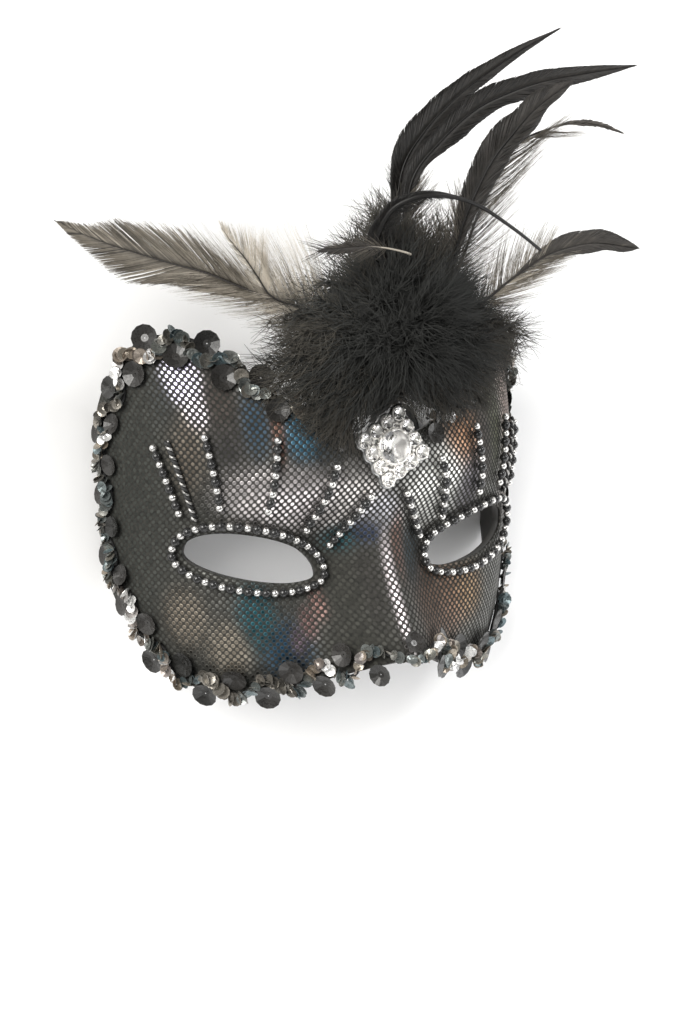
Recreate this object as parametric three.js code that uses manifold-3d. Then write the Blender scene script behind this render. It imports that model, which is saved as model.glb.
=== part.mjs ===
// Masquerade eye mask: a moulded half mask covered in metallic mesh fabric, with a sequin braid round its
// edge, rows of beads round and above the eyes, a jewel, a marabou puff, feathers and an elastic strap.
// It lies face up on its side rims: +Z is the way the face looks, +Y is towards the forehead and +X is
// towards the wearer's left. Lengths are millimetres. A place on the mask is given as an angle round the
// face, in degrees from the midline, and a height above the eye line.

import * as THREE from 'three';
import { mergeVertices } from 'three/addons/utils/BufferGeometryUtils.js';
import Module from 'manifold-3d';

const wasm = await Module();
wasm.setup();

// The moulded face
const HALF_WIDTH = 75;
const CROWN_HEIGHT = 49;
const FOREHEAD_RISE = 9;
const NOSE_RISE = 23;
const NOSE_TOP = 14.5;
const NOSE_TIP = -34;
const SHELL_THICKNESS = 2;

// The edge of one half, from the top centre over the lobe to the side rim, and from there to the nose
const TOP_EDGE = [
  [0, 37], [8, 38.5], [14, 41.5], [20, 46], [27, 53.5], [34, 61.5], [41, 67.5],
  [48, 70.5], [56, 71], [64, 68.5], [72, 63.5], [79.5, 57], [86, 49.5], [90, 43],
];
const BOTTOM_EDGE = [
  [90, -3], [86, -12], [80, -20.5], [73, -29], [65, -36.5], [56, -41.5], [46, -44],
  [36, -44], [27, -42.5], [18, -39], [10, -34.5], [4, -32], [0, -31.5],
];
const TOP_STEPS = TOP_EDGE.length - 1;
const RIM_STEPS = 3;
const BOTTOM_STEPS = BOTTOM_EDGE.length - 1;
const MIDLINE_STEPS = 7;
const ROW_SHARES = [0, 0.2, 0.44, 0.7, 1];
const SKIN_ROWS = ROW_SHARES.length - 1;

// Eye hole and the ring of beads round it
const EYE = { angle: 34.8, height: -1.2, halfLength: 28.5, up: 13, down: 8.3, tilt: 9.7, radius: 77 };
const HOLE_INSIDE_RING = 3.2;
const RING_BEADS = 44;

// Layers above the moulded shell
const TOUCH_GAP = 0.3;
const FABRIC_THICKNESS = 0.5;
const FABRIC_TOP = TOUCH_GAP + FABRIC_THICKNESS;
const FABRIC_INSET = 0.5;

// Beads, by turns silver and black, and the rows of them between the middles of the first and last bead
const SILVER_BEAD_RADIUS = 1.25;
const BLACK_BEAD_RADIUS = 1.5;
const BEAD_NECK_RADIUS = 0.75;
const BEAD_SIDES = 5;
const RAY_BEADS = 9;
const BEAD_RAYS = [
  { from: [61, 36.5], to: [53.5, 16.5] },
  { from: [46, 39.5], to: [42.5, 18.5] },
  { from: [28, 38], to: [30.5, 17.5] },
  { from: [14.5, 29.5], to: [19.5, 10.5] },
  { from: [5, 20], to: [12, 4] },
];

// Sequin braid: a rope of small sequins that waves along the edge, with a large round sequin in each of its
// bends, so that both its edges are scalloped. It is narrower behind the puff, under the nose and along the
// side rims, and its inset grows towards the rims, which stay clear of it.
const BRAID_WAVE = 19.9;
const STEPS_PER_WAVE = 8;
const BRAID = { reach: 6.55, scallop: 1.15, inset: 3.5 };
const BRAID_NARROWING = 0.82;
const INSET_BEHIND_PUFF = 0.4;
const INSET_AT_NOSE = 0.8;
const BEHIND_PUFF_ANGLES = [16, 34];
const NOSE_ANGLE = 12;
const SIDE_ANGLES = [68, 85];
const BRAID_ABOVE_FLOOR = 1.4;
const BRAID_BOTTOM = FABRIC_TOP + 1.1;
const BRAID_THICKNESS = 1.7;
const BRAID_DIP = 0.7;
const BRAID_OVER_NOSE = { lift: 2.2, angle: 27 };
const BRAID_START = 15.5;
const FINE_STEPS = { top: 160, rim: 60, bottom: 160 };

// Jewel
const JEWEL = { angle: 0.3, height: 34.6, turn: -13, halfDiagonal: 10.6, plate: 1.6 };
const SMALL_STONES_A_SIDE = 3;
const SMALL_STONE = { radius: 2.15, height: 1.5 };
const CENTRE_STONE = { radius: 5.6, height: 3.4 };
const SCALLOP_RADIUS = 2.9;

// Marabou puff
const PUFF = { centre: [0, 71.5, 65.5], radii: [32.5, 31.5, 16.5] };
const PUFF_DETAIL = 5;
const TUFTS = { count: 42, rise: 0.25, spread: 0.31 };
const PUFF_POINT = { narrowing: 0.55, back: 8 };
const PUFF_BED = { inset: -7, low: -9 };
const PUFF_ROOM = 2 * TOUCH_GAP;
const JEWEL_ROOM_HEIGHT = 30;

// Feathers: the quill's way from its hidden end to the tip, where the vane begins as a share of the length,
// and the vane's half width
const FEATHERS = {
  feather_top_long: {
    quill: [[2, 80.5, 58], [2.5, 100, 60], [4, 119, 62], [11.5, 131, 63], [22.5, 141.5, 64], [33, 149, 65],
      [45.5, 156.5, 66], [60, 164, 68]],
    vaneStart: 0.2, halfWidth: 4.6,
  },
  feather_top_broad: {
    quill: [[2.5, 80, 61], [3, 101.5, 64.5], [5, 117, 67], [14, 128, 69], [25.5, 137.5, 71], [37.5, 143, 73],
      [49, 146.5, 75], [65, 149.5, 77], [81.5, 152, 79]],
    vaneStart: 0.2, halfWidth: 5.2,
  },
  feather_right_tall: {
    quill: [[11.5, 74, 62.5], [17.5, 89, 67], [20, 102.5, 71], [23.5, 113, 74], [27.5, 122, 77],
      [33, 129, 79], [39, 136, 81], [46, 141.5, 83], [52.5, 145.5, 85]],
    vaneStart: 0.25, halfWidth: 5,
  },
  feather_thin_curl: {
    quill: [[14.5, 73.5, 58.5], [25.5, 91.5, 61], [31, 106, 63], [37.5, 119, 65.5], [43.5, 128, 68],
      [49, 131, 69], [55.5, 133, 70], [62, 134.5, 71], [72, 134, 72], [82, 131.5, 72]],
    vaneStart: 0.72, halfWidth: 1.6,
  },
  bare_quill: {
    quill: [[-9, 91, 72], [-13, 98, 75], [-11, 106, 80], [-6, 109.5, 84], [0.5, 110.5, 86], [9.5, 109.5, 86],
      [18, 107, 85], [27, 103, 83], [36, 99, 80], [45, 94.5, 77]],
    vaneStart: 1, halfWidth: 0,
  },
  feather_right_short: {
    quill: [[10.5, 66, 60], [24, 73, 60], [33.5, 79, 62], [43, 86, 64], [54.5, 93, 66], [64, 96, 68],
      [73.5, 97, 70], [88.5, 95, 72]],
    vaneStart: 0.48, halfWidth: 3.4,
  },
  feather_left_long: {
    quill: [[-20, 73, 57.5], [-33, 78.5, 56.5], [-40.5, 82, 55.5], [-50, 86, 54.5], [-58.5, 89.5, 53.5],
      [-69.5, 92.5, 52.5], [-81, 96, 51.5], [-92.5, 100, 50], [-102.5, 105, 48]],
    vaneStart: 0.26, halfWidth: 8,
  },
  feather_left_downy: {
    quill: [[-17, 74.5, 62], [-34.5, 79.5, 61], [-41.5, 82.5, 61], [-45.5, 88, 61], [-49.5, 93.5, 61],
      [-53.5, 98, 61], [-56.5, 102, 61]],
    vaneStart: 0.55, halfWidth: 2.4,
  },
  feather_small_centre: {
    quill: [[-1, 93.6, 74], [-5.2, 93.7, 81], [-9.5, 94.5, 82.8], [-15, 95.4, 83.4], [-21.6, 95.8, 83.5],
      [-28, 95.4, 82.2], [-35.5, 94.7, 79.8]],
    vaneStart: 0.5, halfWidth: 2.2,
  },
};
const QUILL_RADIUS = 0.7;
const VANE_THICKNESS = 0.9;
const VANE_FACING = new THREE.Vector3(-0.3, 0.05, 0.95).normalize();
const VANE_WIDEST = 0.35;
const FEATHER_STEPS = 12;

// Elastic strap: a flat band on its edge, which lies in loose bends on the floor under the mask, and the
// tabs that hold its ends
const STRAP_WIDTH = 4;
const STRAP_HALF_THICKNESS = 0.8;
const STRAP_CORNER = 0.4;
const STRAP_STEPS = 54;
const STRAP_HALF_ROUTE = [
  [69.2, 24, 5], [63.5, 24, 4.2], [57.5, 24, 2.5], [52.3, 24.5, 2.1], [47.5, 27, 2.1], [44.5, 31.2, 2.1],
  [43, 37, 2.1], [40, 41.6, 2.1], [35, 43.3, 2.1], [29, 40.8, 2.1], [26.25, 34.4, 2.1],
  [26.25, 17.2, 2.1], [24.6, 12.1, 2.1], [20.2, 8.9, 2.1], [14.8, 8.9, 2.1], [10.4, 12.1, 2.1],
  [8.75, 17.2, 2.1], [8.75, 34.4, 2.1], [7.1, 39.5, 2.1], [2.7, 42.7, 2.1],
];
const TAB = { height: 24, halfLength: 6, fromAngle: 78.5, toAngle: 88.5, thickness: 1.4 };

const MATERIALS = {
  shell: { color: 0x15150f, roughness: 0.7, metalness: 0 },
  fabric: { color: 0x55585a, roughness: 0.35, metalness: 0.6 },
  sequins: { color: 0x1a1a1c, roughness: 0.15, metalness: 0.4 },
  beads: { color: 0x101012, roughness: 0.12, metalness: 0.3 },
  silver: { color: 0xc9c8c4, roughness: 0.2, metalness: 0.95 },
  clear: { color: 0xf2f4f6, roughness: 0.03, metalness: 0 },
  marabou: { color: 0x0b0b0c, roughness: 0.95, metalness: 0 },
  feather: { color: 0x121214, roughness: 0.6, metalness: 0 },
  greyFeather: { color: 0x77736c, roughness: 0.7, metalness: 0 },
  elastic: { color: 0x0e0e0e, roughness: 0.85, metalness: 0 },
};

const mask = new THREE.Group();

function addMesh(name, geometry, materialName) {
  const mesh = new THREE.Mesh(geometry, new THREE.MeshStandardMaterial(MATERIALS[materialName]));
  mesh.name = name;
  mask.add(mesh);
  return mesh;
}

// The moulded surface

const radians = THREE.MathUtils.degToRad;
const smooth = (t) => THREE.MathUtils.smoothstep(t, 0, 1);
const bump = (distance, width) => Math.exp(-((distance / width) ** 2));

function halfWidthAt(height) {
  return height < 12 ? HALF_WIDTH - 0.0029 * (height - 12) ** 2 : HALF_WIDTH + 0.01 * (height - 12);
}

function crownAt(height) {
  const forehead = FOREHEAD_RISE * bump(height - 37, 25) - 0.0031 * Math.max(height - 19, 0) ** 2;
  return CROWN_HEIGHT + forehead - 0.005 * Math.max(-21 - height, 0) ** 2;
}

function noseAt(x, height) {
  const down = (NOSE_TOP - height) / (NOSE_TOP - NOSE_TIP);
  const rise = THREE.MathUtils.clamp(down, 0, 1) ** 1.35;
  const underTip = 1 - 0.35 * smooth((NOSE_TIP - height) / 11);
  const width = 9.4 + 8.4 * smooth(down);
  return NOSE_RISE * rise * underTip * bump(x, width);
}

function facePoint(angle, height) {
  const x = halfWidthAt(height) * Math.sin(radians(angle));
  const across = Math.abs(x);
  const socket = -5.2 * bump(across - 21, 12.5) * bump(height - 2, 13.5);
  const cheek = 2.8 * bump(across - 46, 19) * bump(height + 25, 14.5);
  const brow = 2.8 * bump(across - 31, 23) * bump(height - 23, 9.5);
  const z = (crownAt(height) + socket + cheek + brow) * Math.cos(radians(angle)) + noseAt(x, height);
  return new THREE.Vector3(x, height, z);
}

function faceNormal(angle, height) {
  const along = facePoint(angle + 0.2, height).sub(facePoint(angle - 0.2, height));
  const up = facePoint(angle, height + 0.2).sub(facePoint(angle, height - 0.2));
  return along.cross(up).normalize();
}

// A point at a height above the moulded surface. The side rims are flat in the plane that the mask lies on.
function lifted(angle, height, lift) {
  const point = facePoint(angle, height).addScaledVector(faceNormal(angle, height), lift);
  if (Math.abs(angle) === 90) point.z = 0;
  return point;
}

// Millimetres along the surface for one degree of angle
function degreeLength(angle, height) {
  return facePoint(angle + 0.5, height).distanceTo(facePoint(angle - 0.5, height));
}

function eyePoint(turn, grow) {
  const { angle, height, halfLength, up, down, tilt, radius } = EYE;
  const sine = Math.sin(turn);
  const x = (halfLength + grow) * Math.cos(turn);
  const y = ((sine > 0 ? up : down) + grow) * Math.sign(sine) * Math.abs(sine) ** 0.9;
  const c = Math.cos(radians(tilt));
  const s = Math.sin(radians(tilt));
  return [angle + THREE.MathUtils.radToDeg((x * c - y * s) / radius), height + x * s + y * c];
}

// Closed solids

function geometryFromTriangles(corners) {
  const geometry = new THREE.BufferGeometry().setFromPoints(corners);
  const merged = mergeVertices(geometry, 1e-4);
  const position = merged.getAttribute('position');
  const index = merged.getIndex().array;
  const [a, b, c] = [new THREE.Vector3(), new THREE.Vector3(), new THREE.Vector3()];
  let volume = 0;
  const kept = [];
  for (let i = 0; i < index.length; i += 3) {
    const [p, q, r] = [index[i], index[i + 1], index[i + 2]];
    if (p === q || q === r || r === p) continue;
    kept.push([p, q, r]);
    a.fromBufferAttribute(position, p);
    b.fromBufferAttribute(position, q);
    c.fromBufferAttribute(position, r);
    volume += a.dot(b.cross(c));
  }
  merged.setIndex(kept.flatMap(([p, q, r]) => (volume > 0 ? [p, q, r] : [p, r, q])));
  return merged;
}

// The triangles of the closed space between two grids of points
function trianglesBetween(top, bottom, { around = false, flip = false, isOpen = () => false } = {}) {
  const corners = [];
  const face = (a, b, c, d) => corners.push(...(flip ? [a, c, b, a, d, c] : [a, b, c, a, c, d]));
  const lastRow = top.length - 1;
  const columns = top[0].length;
  const steps = around ? columns : columns - 1;
  for (let j = 0; j < steps; j++) {
    const k = (j + 1) % columns;
    for (let i = 0; i < lastRow; i++) {
      face(top[i][j], top[i + 1][j], top[i + 1][k], top[i][k]);
      face(bottom[i][j], bottom[i][k], bottom[i + 1][k], bottom[i + 1][j]);
    }
    face(top[0][j], top[0][k], bottom[0][k], bottom[0][j]);
    if (!isOpen(j, k)) face(top[lastRow][k], top[lastRow][j], bottom[lastRow][j], bottom[lastRow][k]);
  }
  if (!around) {
    for (let i = 0; i < lastRow; i++) {
      face(top[i + 1][0], top[i][0], bottom[i][0], bottom[i + 1][0]);
      face(top[i][steps], top[i + 1][steps], bottom[i + 1][steps], bottom[i][steps]);
    }
  }
  return corners;
}

// A closed body through rings of the same number of points, with flat ends or joined end to end
function loft(rings, joined = false) {
  const corners = [];
  const sides = rings[0].length;
  const path = joined ? [...rings, rings[0]] : rings;
  for (let i = 0; i < path.length - 1; i++) {
    for (let j = 0; j < sides; j++) {
      const k = (j + 1) % sides;
      const [a, b, c, d] = [path[i][j], path[i][k], path[i + 1][k], path[i + 1][j]];
      corners.push(a, b, c, a, c, d);
    }
  }
  const first = rings[0];
  const last = rings.at(-1);
  for (let j = 1; j < sides - 1 && !joined; j++) {
    corners.push(first[0], first[j + 1], first[j]);
    corners.push(last[0], last[j], last[j + 1]);
  }
  return geometryFromTriangles(corners);
}

function toManifold(geometry) {
  const bare = geometry.clone();
  bare.deleteAttribute('normal');
  bare.deleteAttribute('uv');
  const merged = mergeVertices(bare, 1e-4);
  const vertProperties = new Float32Array(merged.getAttribute('position').array);
  const triVerts = new Uint32Array(merged.getIndex().array);
  return new wasm.Manifold(new wasm.Mesh({ numProp: 3, vertProperties, triVerts }));
}

function fromManifold(solid) {
  const { vertProperties, triVerts } = solid.getMesh();
  const geometry = new THREE.BufferGeometry();
  geometry.setAttribute('position', new THREE.BufferAttribute(new Float32Array(vertProperties), 3));
  geometry.setIndex([...triVerts]);
  return geometry;
}

// The edge of one half

function curvePoints(list, steps) {
  const curve = new THREE.SplineCurve(list.map(([angle, height]) => new THREE.Vector2(angle, height)));
  return curve.getPoints(steps).map((point) => [point.x, point.y]);
}

function straight([angle0, height0], [angle1, height1], steps) {
  return Array.from({ length: steps + 1 }, (_, i) => {
    const share = i / steps;
    return [angle0 + (angle1 - angle0) * share, height0 + (height1 - height0) * share];
  });
}

function halfEdge(topSteps, rimSteps, bottomSteps) {
  return [
    ...curvePoints(TOP_EDGE, topSteps),
    ...straight(TOP_EDGE.at(-1), BOTTOM_EDGE[0], rimSteps).slice(1),
    ...curvePoints(BOTTOM_EDGE, bottomSteps).slice(1),
  ];
}

// Rows of places from the eye hole out to the edge of one half and its midline
const EDGE_COUNT = TOP_STEPS + RIM_STEPS + BOTTOM_STEPS + 1;

function halfGrid() {
  const edge = halfEdge(TOP_STEPS, RIM_STEPS, BOTTOM_STEPS);
  const midline = straight(BOTTOM_EDGE.at(-1), TOP_EDGE[0], MIDLINE_STEPS).slice(1, -1);
  const perDegree = degreeLength(EYE.angle, EYE.height);
  return ROW_SHARES.map((share) => [...edge, ...midline].map(([angle, height]) => {
    const across = (angle - EYE.angle) * perDegree;
    const turn = Math.atan2((height - EYE.height) / EYE.up, across / EYE.halfLength);
    const [eyeAngle, eyeHeight] = eyePoint(turn, -HOLE_INSIDE_RING);
    return [eyeAngle + (angle - eyeAngle) * share, eyeHeight + (height - eyeHeight) * share];
  }));
}

// The grid's points at a height above the moulded surface, with its free edges drawn in by a distance
function skinPoints(grid, side, lift, inset) {
  const rows = grid.map((row) => row.map(([angle, height]) => lifted(side * angle, height, lift)));
  const drawnIn = (point, towards) => point.clone().lerp(towards, inset / point.distanceTo(towards));
  const border = rows[SKIN_ROWS];
  const newBorder = border.map((point, j) => {
    if (j === 0) return drawnIn(point, border.at(-1));
    if (j === EDGE_COUNT - 1) return drawnIn(point, border[j + 1]);
    return j < EDGE_COUNT ? drawnIn(point, rows[SKIN_ROWS - 1][j]) : point;
  });
  const newHole = rows[0].map((point, j) => drawnIn(point, rows[1][j]));
  return [newHole, ...rows.slice(1, -1), newBorder];
}

// Both halves of a layer of the mask, between two heights above the moulded surface
function layer(low, high, inset) {
  const grid = halfGrid();
  const onMidline = (j, k) => grid[SKIN_ROWS][j][0] < 1e-6 && grid[SKIN_ROWS][k][0] < 1e-6;
  const halves = [1, -1].map((side) => {
    const [top, bottom] = [high, low].map((lift) => skinPoints(grid, side, lift, inset));
    return trianglesBetween(top, bottom, { around: true, flip: side < 0, isOpen: onMidline });
  });
  return geometryFromTriangles(halves.flat());
}

// Mask shell and fabric cover

addMesh('mask_shell', layer(-SHELL_THICKNESS, 0, 0), 'shell');
addMesh('fabric_cover', layer(TOUCH_GAP, FABRIC_TOP, FABRIC_INSET), 'fabric');

// The whole edge from the top centre round to it again, with the direction inwards at each place

function edgeLoop() {
  const half = halfEdge(FINE_STEPS.top, FINE_STEPS.rim, FINE_STEPS.bottom);
  const loop = [...half, ...half.slice(0, -1).reverse().map(([angle, height]) => [-angle, height])];
  let length = 0;
  return loop.map(([angle, height], i) => {
    const [before, after] = [loop[Math.max(i - 1, 0)], loop[Math.min(i + 1, loop.length - 1)]];
    const perDegree = degreeLength(angle, height);
    const along = new THREE.Vector2((after[0] - before[0]) * perDegree, after[1] - before[1]).normalize();
    if (i > 0) length += facePoint(angle, height).distanceTo(facePoint(...loop[i - 1]));
    return { angle, height, perDegree, inward: [along.y / perDegree, -along.x], length };
  });
}

// The braid's two ends lie on the top edge beside the jewel, under the puff
function braidStations() {
  const loop = edgeLoop();
  const start = loop.find(({ angle, height }) => facePoint(angle, height).x > BRAID_START).length;
  const run = loop.at(-1).length - 2 * start;
  const waves = Math.round(run / BRAID_WAVE);
  const count = waves * STEPS_PER_WAVE;
  return Array.from({ length: count + 1 }, (_, i) => {
    const target = start + (run * i) / count;
    const place = loop.find(({ length }) => length >= target - 1e-6) ?? loop.at(-1);
    const across = Math.abs(place.angle);
    const behindPuff = place.height > 20 ? 1 - THREE.MathUtils.smoothstep(across, ...BEHIND_PUFF_ANGLES) : 0;
    const atNose = place.height < 0 ? bump(place.angle, NOSE_ANGLE) : 0;
    const atSide = THREE.MathUtils.smoothstep(across, ...SIDE_ANGLES);
    const size = THREE.MathUtils.lerp(1, BRAID_NARROWING, Math.max(behindPuff, atNose, atSide));
    const rimInset = BRAID_ABOVE_FLOOR + size * (BRAID.reach + BRAID.scallop);
    const besidePuff = THREE.MathUtils.lerp(BRAID.inset, INSET_BEHIND_PUFF, behindPuff);
    const besideNose = THREE.MathUtils.lerp(besidePuff, INSET_AT_NOSE, atNose);
    const middle = THREE.MathUtils.lerp(besideNose, rimInset, atSide);
    const scallop = BRAID.scallop * Math.cos((2 * Math.PI * i) / STEPS_PER_WAVE);
    const outer = middle - size * (BRAID.reach - scallop);
    const inner = middle + size * (BRAID.reach + scallop);
    const overNose = place.height < 0 ? BRAID_OVER_NOSE.lift * bump(place.angle, BRAID_OVER_NOSE.angle) : 0;
    const bottom = BRAID_BOTTOM + overNose;
    const top = bottom + BRAID_THICKNESS - (i % 2 ? BRAID_DIP : 0);
    return { place, outer, inner, bottom, top };
  });
}

function braidGeometry() {
  const stations = braidStations();
  const edge = (side, level) => stations.map(({ place, [side]: distance, [level]: lift }) => {
    const [turn, rise] = place.inward;
    return lifted(place.angle + turn * distance, place.height + rise * distance, lift);
  });
  const top = [edge('outer', 'top'), edge('inner', 'top')];
  const bottom = [edge('outer', 'bottom'), edge('inner', 'bottom')];
  return geometryFromTriangles(trianglesBetween(top, bottom));
}

addMesh('sequin_trim', braidGeometry(), 'sequins');

// Beads on their thread, silver and black by turns, with a neck between each and the next

function beadString(places, closed) {
  const lift = FABRIC_TOP + TOUCH_GAP + BLACK_BEAD_RADIUS;
  const radii = [BEAD_NECK_RADIUS, SILVER_BEAD_RADIUS, BEAD_NECK_RADIUS, BLACK_BEAD_RADIUS];
  const centres = places.map(([angle, height]) => lifted(angle, height, lift));
  const count = centres.length;
  const rings = centres.map((centre, i) => {
    const before = centres[closed ? (i + count - 1) % count : Math.max(i - 1, 0)];
    const after = centres[closed ? (i + 1) % count : Math.min(i + 1, count - 1)];
    const along = after.clone().sub(before).normalize();
    const out = faceNormal(...places[i]);
    const across = along.clone().cross(out).normalize();
    const level = across.clone().cross(along);
    const radius = radii[i % 4];
    return Array.from({ length: BEAD_SIDES }, (_, k) => {
      const turn = (2 * Math.PI * k) / BEAD_SIDES;
      const [up, aside] = [radius * Math.cos(turn), radius * Math.sin(turn)];
      return centre.clone().addScaledVector(level, up).addScaledVector(across, aside);
    });
  });
  return loft(rings, closed);
}

// Places spaced evenly along the eye's ring, two for each bead
function ringPlaces(side) {
  const turns = 720;
  const fine = Array.from({ length: turns + 1 }, (_, i) => {
    const [angle, height] = eyePoint((2 * Math.PI * i) / turns, 0);
    return [side * angle, height];
  });
  const lengths = [0];
  for (let i = 1; i <= turns; i++) {
    lengths.push(lengths[i - 1] + facePoint(...fine[i]).distanceTo(facePoint(...fine[i - 1])));
  }
  return Array.from({ length: 2 * RING_BEADS }, (_, i) => {
    const target = (lengths.at(-1) * i) / (2 * RING_BEADS);
    return fine[lengths.findIndex((length) => length >= target)];
  });
}

// Places along a row, two for each bead, from half a bead before its start to half a bead past its end
function rayPlaces(side, from, to) {
  return Array.from({ length: 2 * RAY_BEADS + 1 }, (_, i) => {
    const share = (i - 1) / (2 * RAY_BEADS - 2);
    return [side * THREE.MathUtils.lerp(from[0], to[0], share), THREE.MathUtils.lerp(from[1], to[1], share)];
  });
}

for (const [label, side] of [['left', 1], ['right', -1]]) {
  addMesh(`eye_beads_${label}`, beadString(ringPlaces(side), true), 'beads');
  BEAD_RAYS.forEach(({ from, to }, i) => {
    addMesh(`bead_ray_${label}_${i + 1}`, beadString(rayPlaces(side, from, to), false), 'beads');
  });
}

// Jewel: a diamond-shaped plate with a scalloped edge, a round centre stone and small stones round it

const jewelNormal = faceNormal(JEWEL.angle, JEWEL.height);
const jewelSeat = new THREE.Object3D();
jewelSeat.position.copy(lifted(JEWEL.angle, JEWEL.height, FABRIC_TOP + TOUCH_GAP));
jewelSeat.quaternion.setFromUnitVectors(new THREE.Vector3(0, 0, 1), jewelNormal);
jewelSeat.rotateZ(radians(JEWEL.turn));
jewelSeat.updateMatrix();

function stonePlaces() {
  const cornersOfDiamond = [0, 1, 2, 3].map((i) => (
    new THREE.Vector2(0, JEWEL.halfDiagonal).rotateAround(new THREE.Vector2(), (i * Math.PI) / 2)));
  return cornersOfDiamond.flatMap((corner, i) => {
    const next = cornersOfDiamond[(i + 1) % 4];
    return Array.from({ length: SMALL_STONES_A_SIDE }, (_, k) => ({
      centre: corner.clone().lerp(next, k / SMALL_STONES_A_SIDE),
      isCorner: k === 0,
      outward: Math.PI / 2 + (i * Math.PI) / 2 + (k === 0 ? 0 : Math.PI / 4),
    }));
  });
}

function plateShape(scallop) {
  const shape = new THREE.Shape();
  for (const { centre, isCorner, outward } of stonePlaces()) {
    const half = isCorner ? Math.PI / 2 : Math.PI / 4;
    shape.absarc(centre.x, centre.y, scallop, outward - half, outward + half, false);
  }
  return shape;
}

function plateGeometry(scallop, from, to) {
  const options = { depth: to - from, bevelEnabled: false, curveSegments: 2 };
  return new THREE.ExtrudeGeometry(plateShape(scallop), options).translate(0, 0, from);
}

function stoneGeometry({ radius, height }, sides) {
  const profile = [[0, 0], [radius, 0], [radius * 0.6, height], [0, height]];
  const points = profile.map(([x, y]) => new THREE.Vector2(x, y));
  return new THREE.LatheGeometry(points, sides).rotateX(Math.PI / 2);
}

function addJewelPiece(name, geometry, materialName) {
  addMesh(name, geometry.applyMatrix4(jewelSeat.matrix), materialName);
}

addJewelPiece('jewel_setting', plateGeometry(SCALLOP_RADIUS, 0, JEWEL.plate), 'silver');
const stoneSeat = JEWEL.plate + TOUCH_GAP;
addJewelPiece('jewel_centre_stone', stoneGeometry(CENTRE_STONE, 12).translate(0, 0, stoneSeat), 'clear');
stonePlaces().forEach(({ centre }, i) => {
  const stone = stoneGeometry(SMALL_STONE, 6).translate(centre.x, centre.y, stoneSeat);
  addJewelPiece(`jewel_small_stone_${i + 1}`, stone, 'clear');
});

// Feathers: a quill, and a flat vane that is widest a third of the way along and ends in a point

function vaneWidth(share, { vaneStart, halfWidth }) {
  if (share <= vaneStart) return 0;
  const along = (share - vaneStart) / (1 - vaneStart);
  if (along < VANE_WIDEST) return halfWidth * smooth(0.25 + (0.75 * along) / VANE_WIDEST);
  return halfWidth * (1 - ((along - VANE_WIDEST) / (1 - VANE_WIDEST)) ** 1.8);
}

function featherGeometry(feather, grow) {
  const curve = new THREE.CatmullRomCurve3(feather.quill.map((point) => new THREE.Vector3(...point)));
  const rings = Array.from({ length: FEATHER_STEPS + 1 }, (_, i) => {
    const share = i / FEATHER_STEPS;
    const tangent = curve.getTangentAt(share);
    const centre = curve.getPointAt(share);
    if (i === 0) centre.addScaledVector(tangent, -grow);
    const across = VANE_FACING.clone().cross(tangent).normalize();
    const out = tangent.clone().cross(across).normalize();
    const quill = QUILL_RADIUS * (1 - 0.6 * share) + grow;
    const wide = Math.max(quill, vaneWidth(share, feather) + grow);
    const thick = Math.max(quill, (VANE_THICKNESS / 2) * (1 - 0.5 * share) + grow);
    return [[wide, 0], [0, thick], [-wide, 0], [0, -thick]].map(([x, y]) => (
      centre.clone().addScaledVector(across, x).addScaledVector(out, y)));
  });
  return loft(rings);
}

for (const [name, feather] of Object.entries(FEATHERS)) {
  const isGrey = name.startsWith('feather_left') || name === 'feather_small_centre';
  addMesh(name, featherGeometry(feather, 0), isGrey ? 'greyFeather' : 'feather');
}

// Marabou puff: a ball of pointed tufts that narrows behind the jewel, bedded on the mask's top edge

function tuftDirections() {
  const goldenTurn = Math.PI * (3 - Math.sqrt(5));
  return Array.from({ length: TUFTS.count }, (_, i) => {
    const y = 1 - (2 * i + 1) / TUFTS.count;
    const radius = Math.sqrt(1 - y * y);
    return new THREE.Vector3(radius * Math.cos(goldenTurn * i), y, radius * Math.sin(goldenTurn * i));
  });
}

function puffGeometry() {
  const ball = new THREE.IcosahedronGeometry(1, PUFF_DETAIL);
  const position = ball.getAttribute('position');
  const directions = tuftDirections();
  const centre = new THREE.Vector3(...PUFF.centre);
  const point = new THREE.Vector3();
  for (let i = 0; i < position.count; i++) {
    point.fromBufferAttribute(position, i).normalize();
    const nearest = Math.min(...directions.map((direction) => direction.angleTo(point)));
    const size = 1 + TUFTS.rise * Math.max(0, 1 - nearest / TUFTS.spread);
    const down = smooth(-point.y);
    point.multiply(new THREE.Vector3(1 - PUFF_POINT.narrowing * down, 1, 1));
    point.multiplyScalar(size).multiply(new THREE.Vector3(...PUFF.radii));
    point.z -= PUFF_POINT.back * down;
    point.add(centre);
    position.setXYZ(i, point.x, point.y, point.z);
  }
  return ball;
}

function puffSolid() {
  const bed = layer(PUFF_BED.low, BRAID_BOTTOM + BRAID_THICKNESS + PUFF_ROOM, PUFF_BED.inset);
  const jewelRoom = plateGeometry(SCALLOP_RADIUS + PUFF_ROOM, -PUFF_ROOM, JEWEL_ROOM_HEIGHT);
  const rooms = [bed, jewelRoom.applyMatrix4(jewelSeat.matrix)];
  for (const feather of Object.values(FEATHERS)) {
    rooms.push(featherGeometry(feather, TOUCH_GAP + 0.05));
  }
  const whole = toManifold(puffGeometry());
  return fromManifold(rooms.reduce((solid, room) => solid.subtract(toManifold(room)), whole));
}

addMesh('marabou_puff', puffSolid(), 'marabou');

// Elastic strap and its tabs

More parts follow.
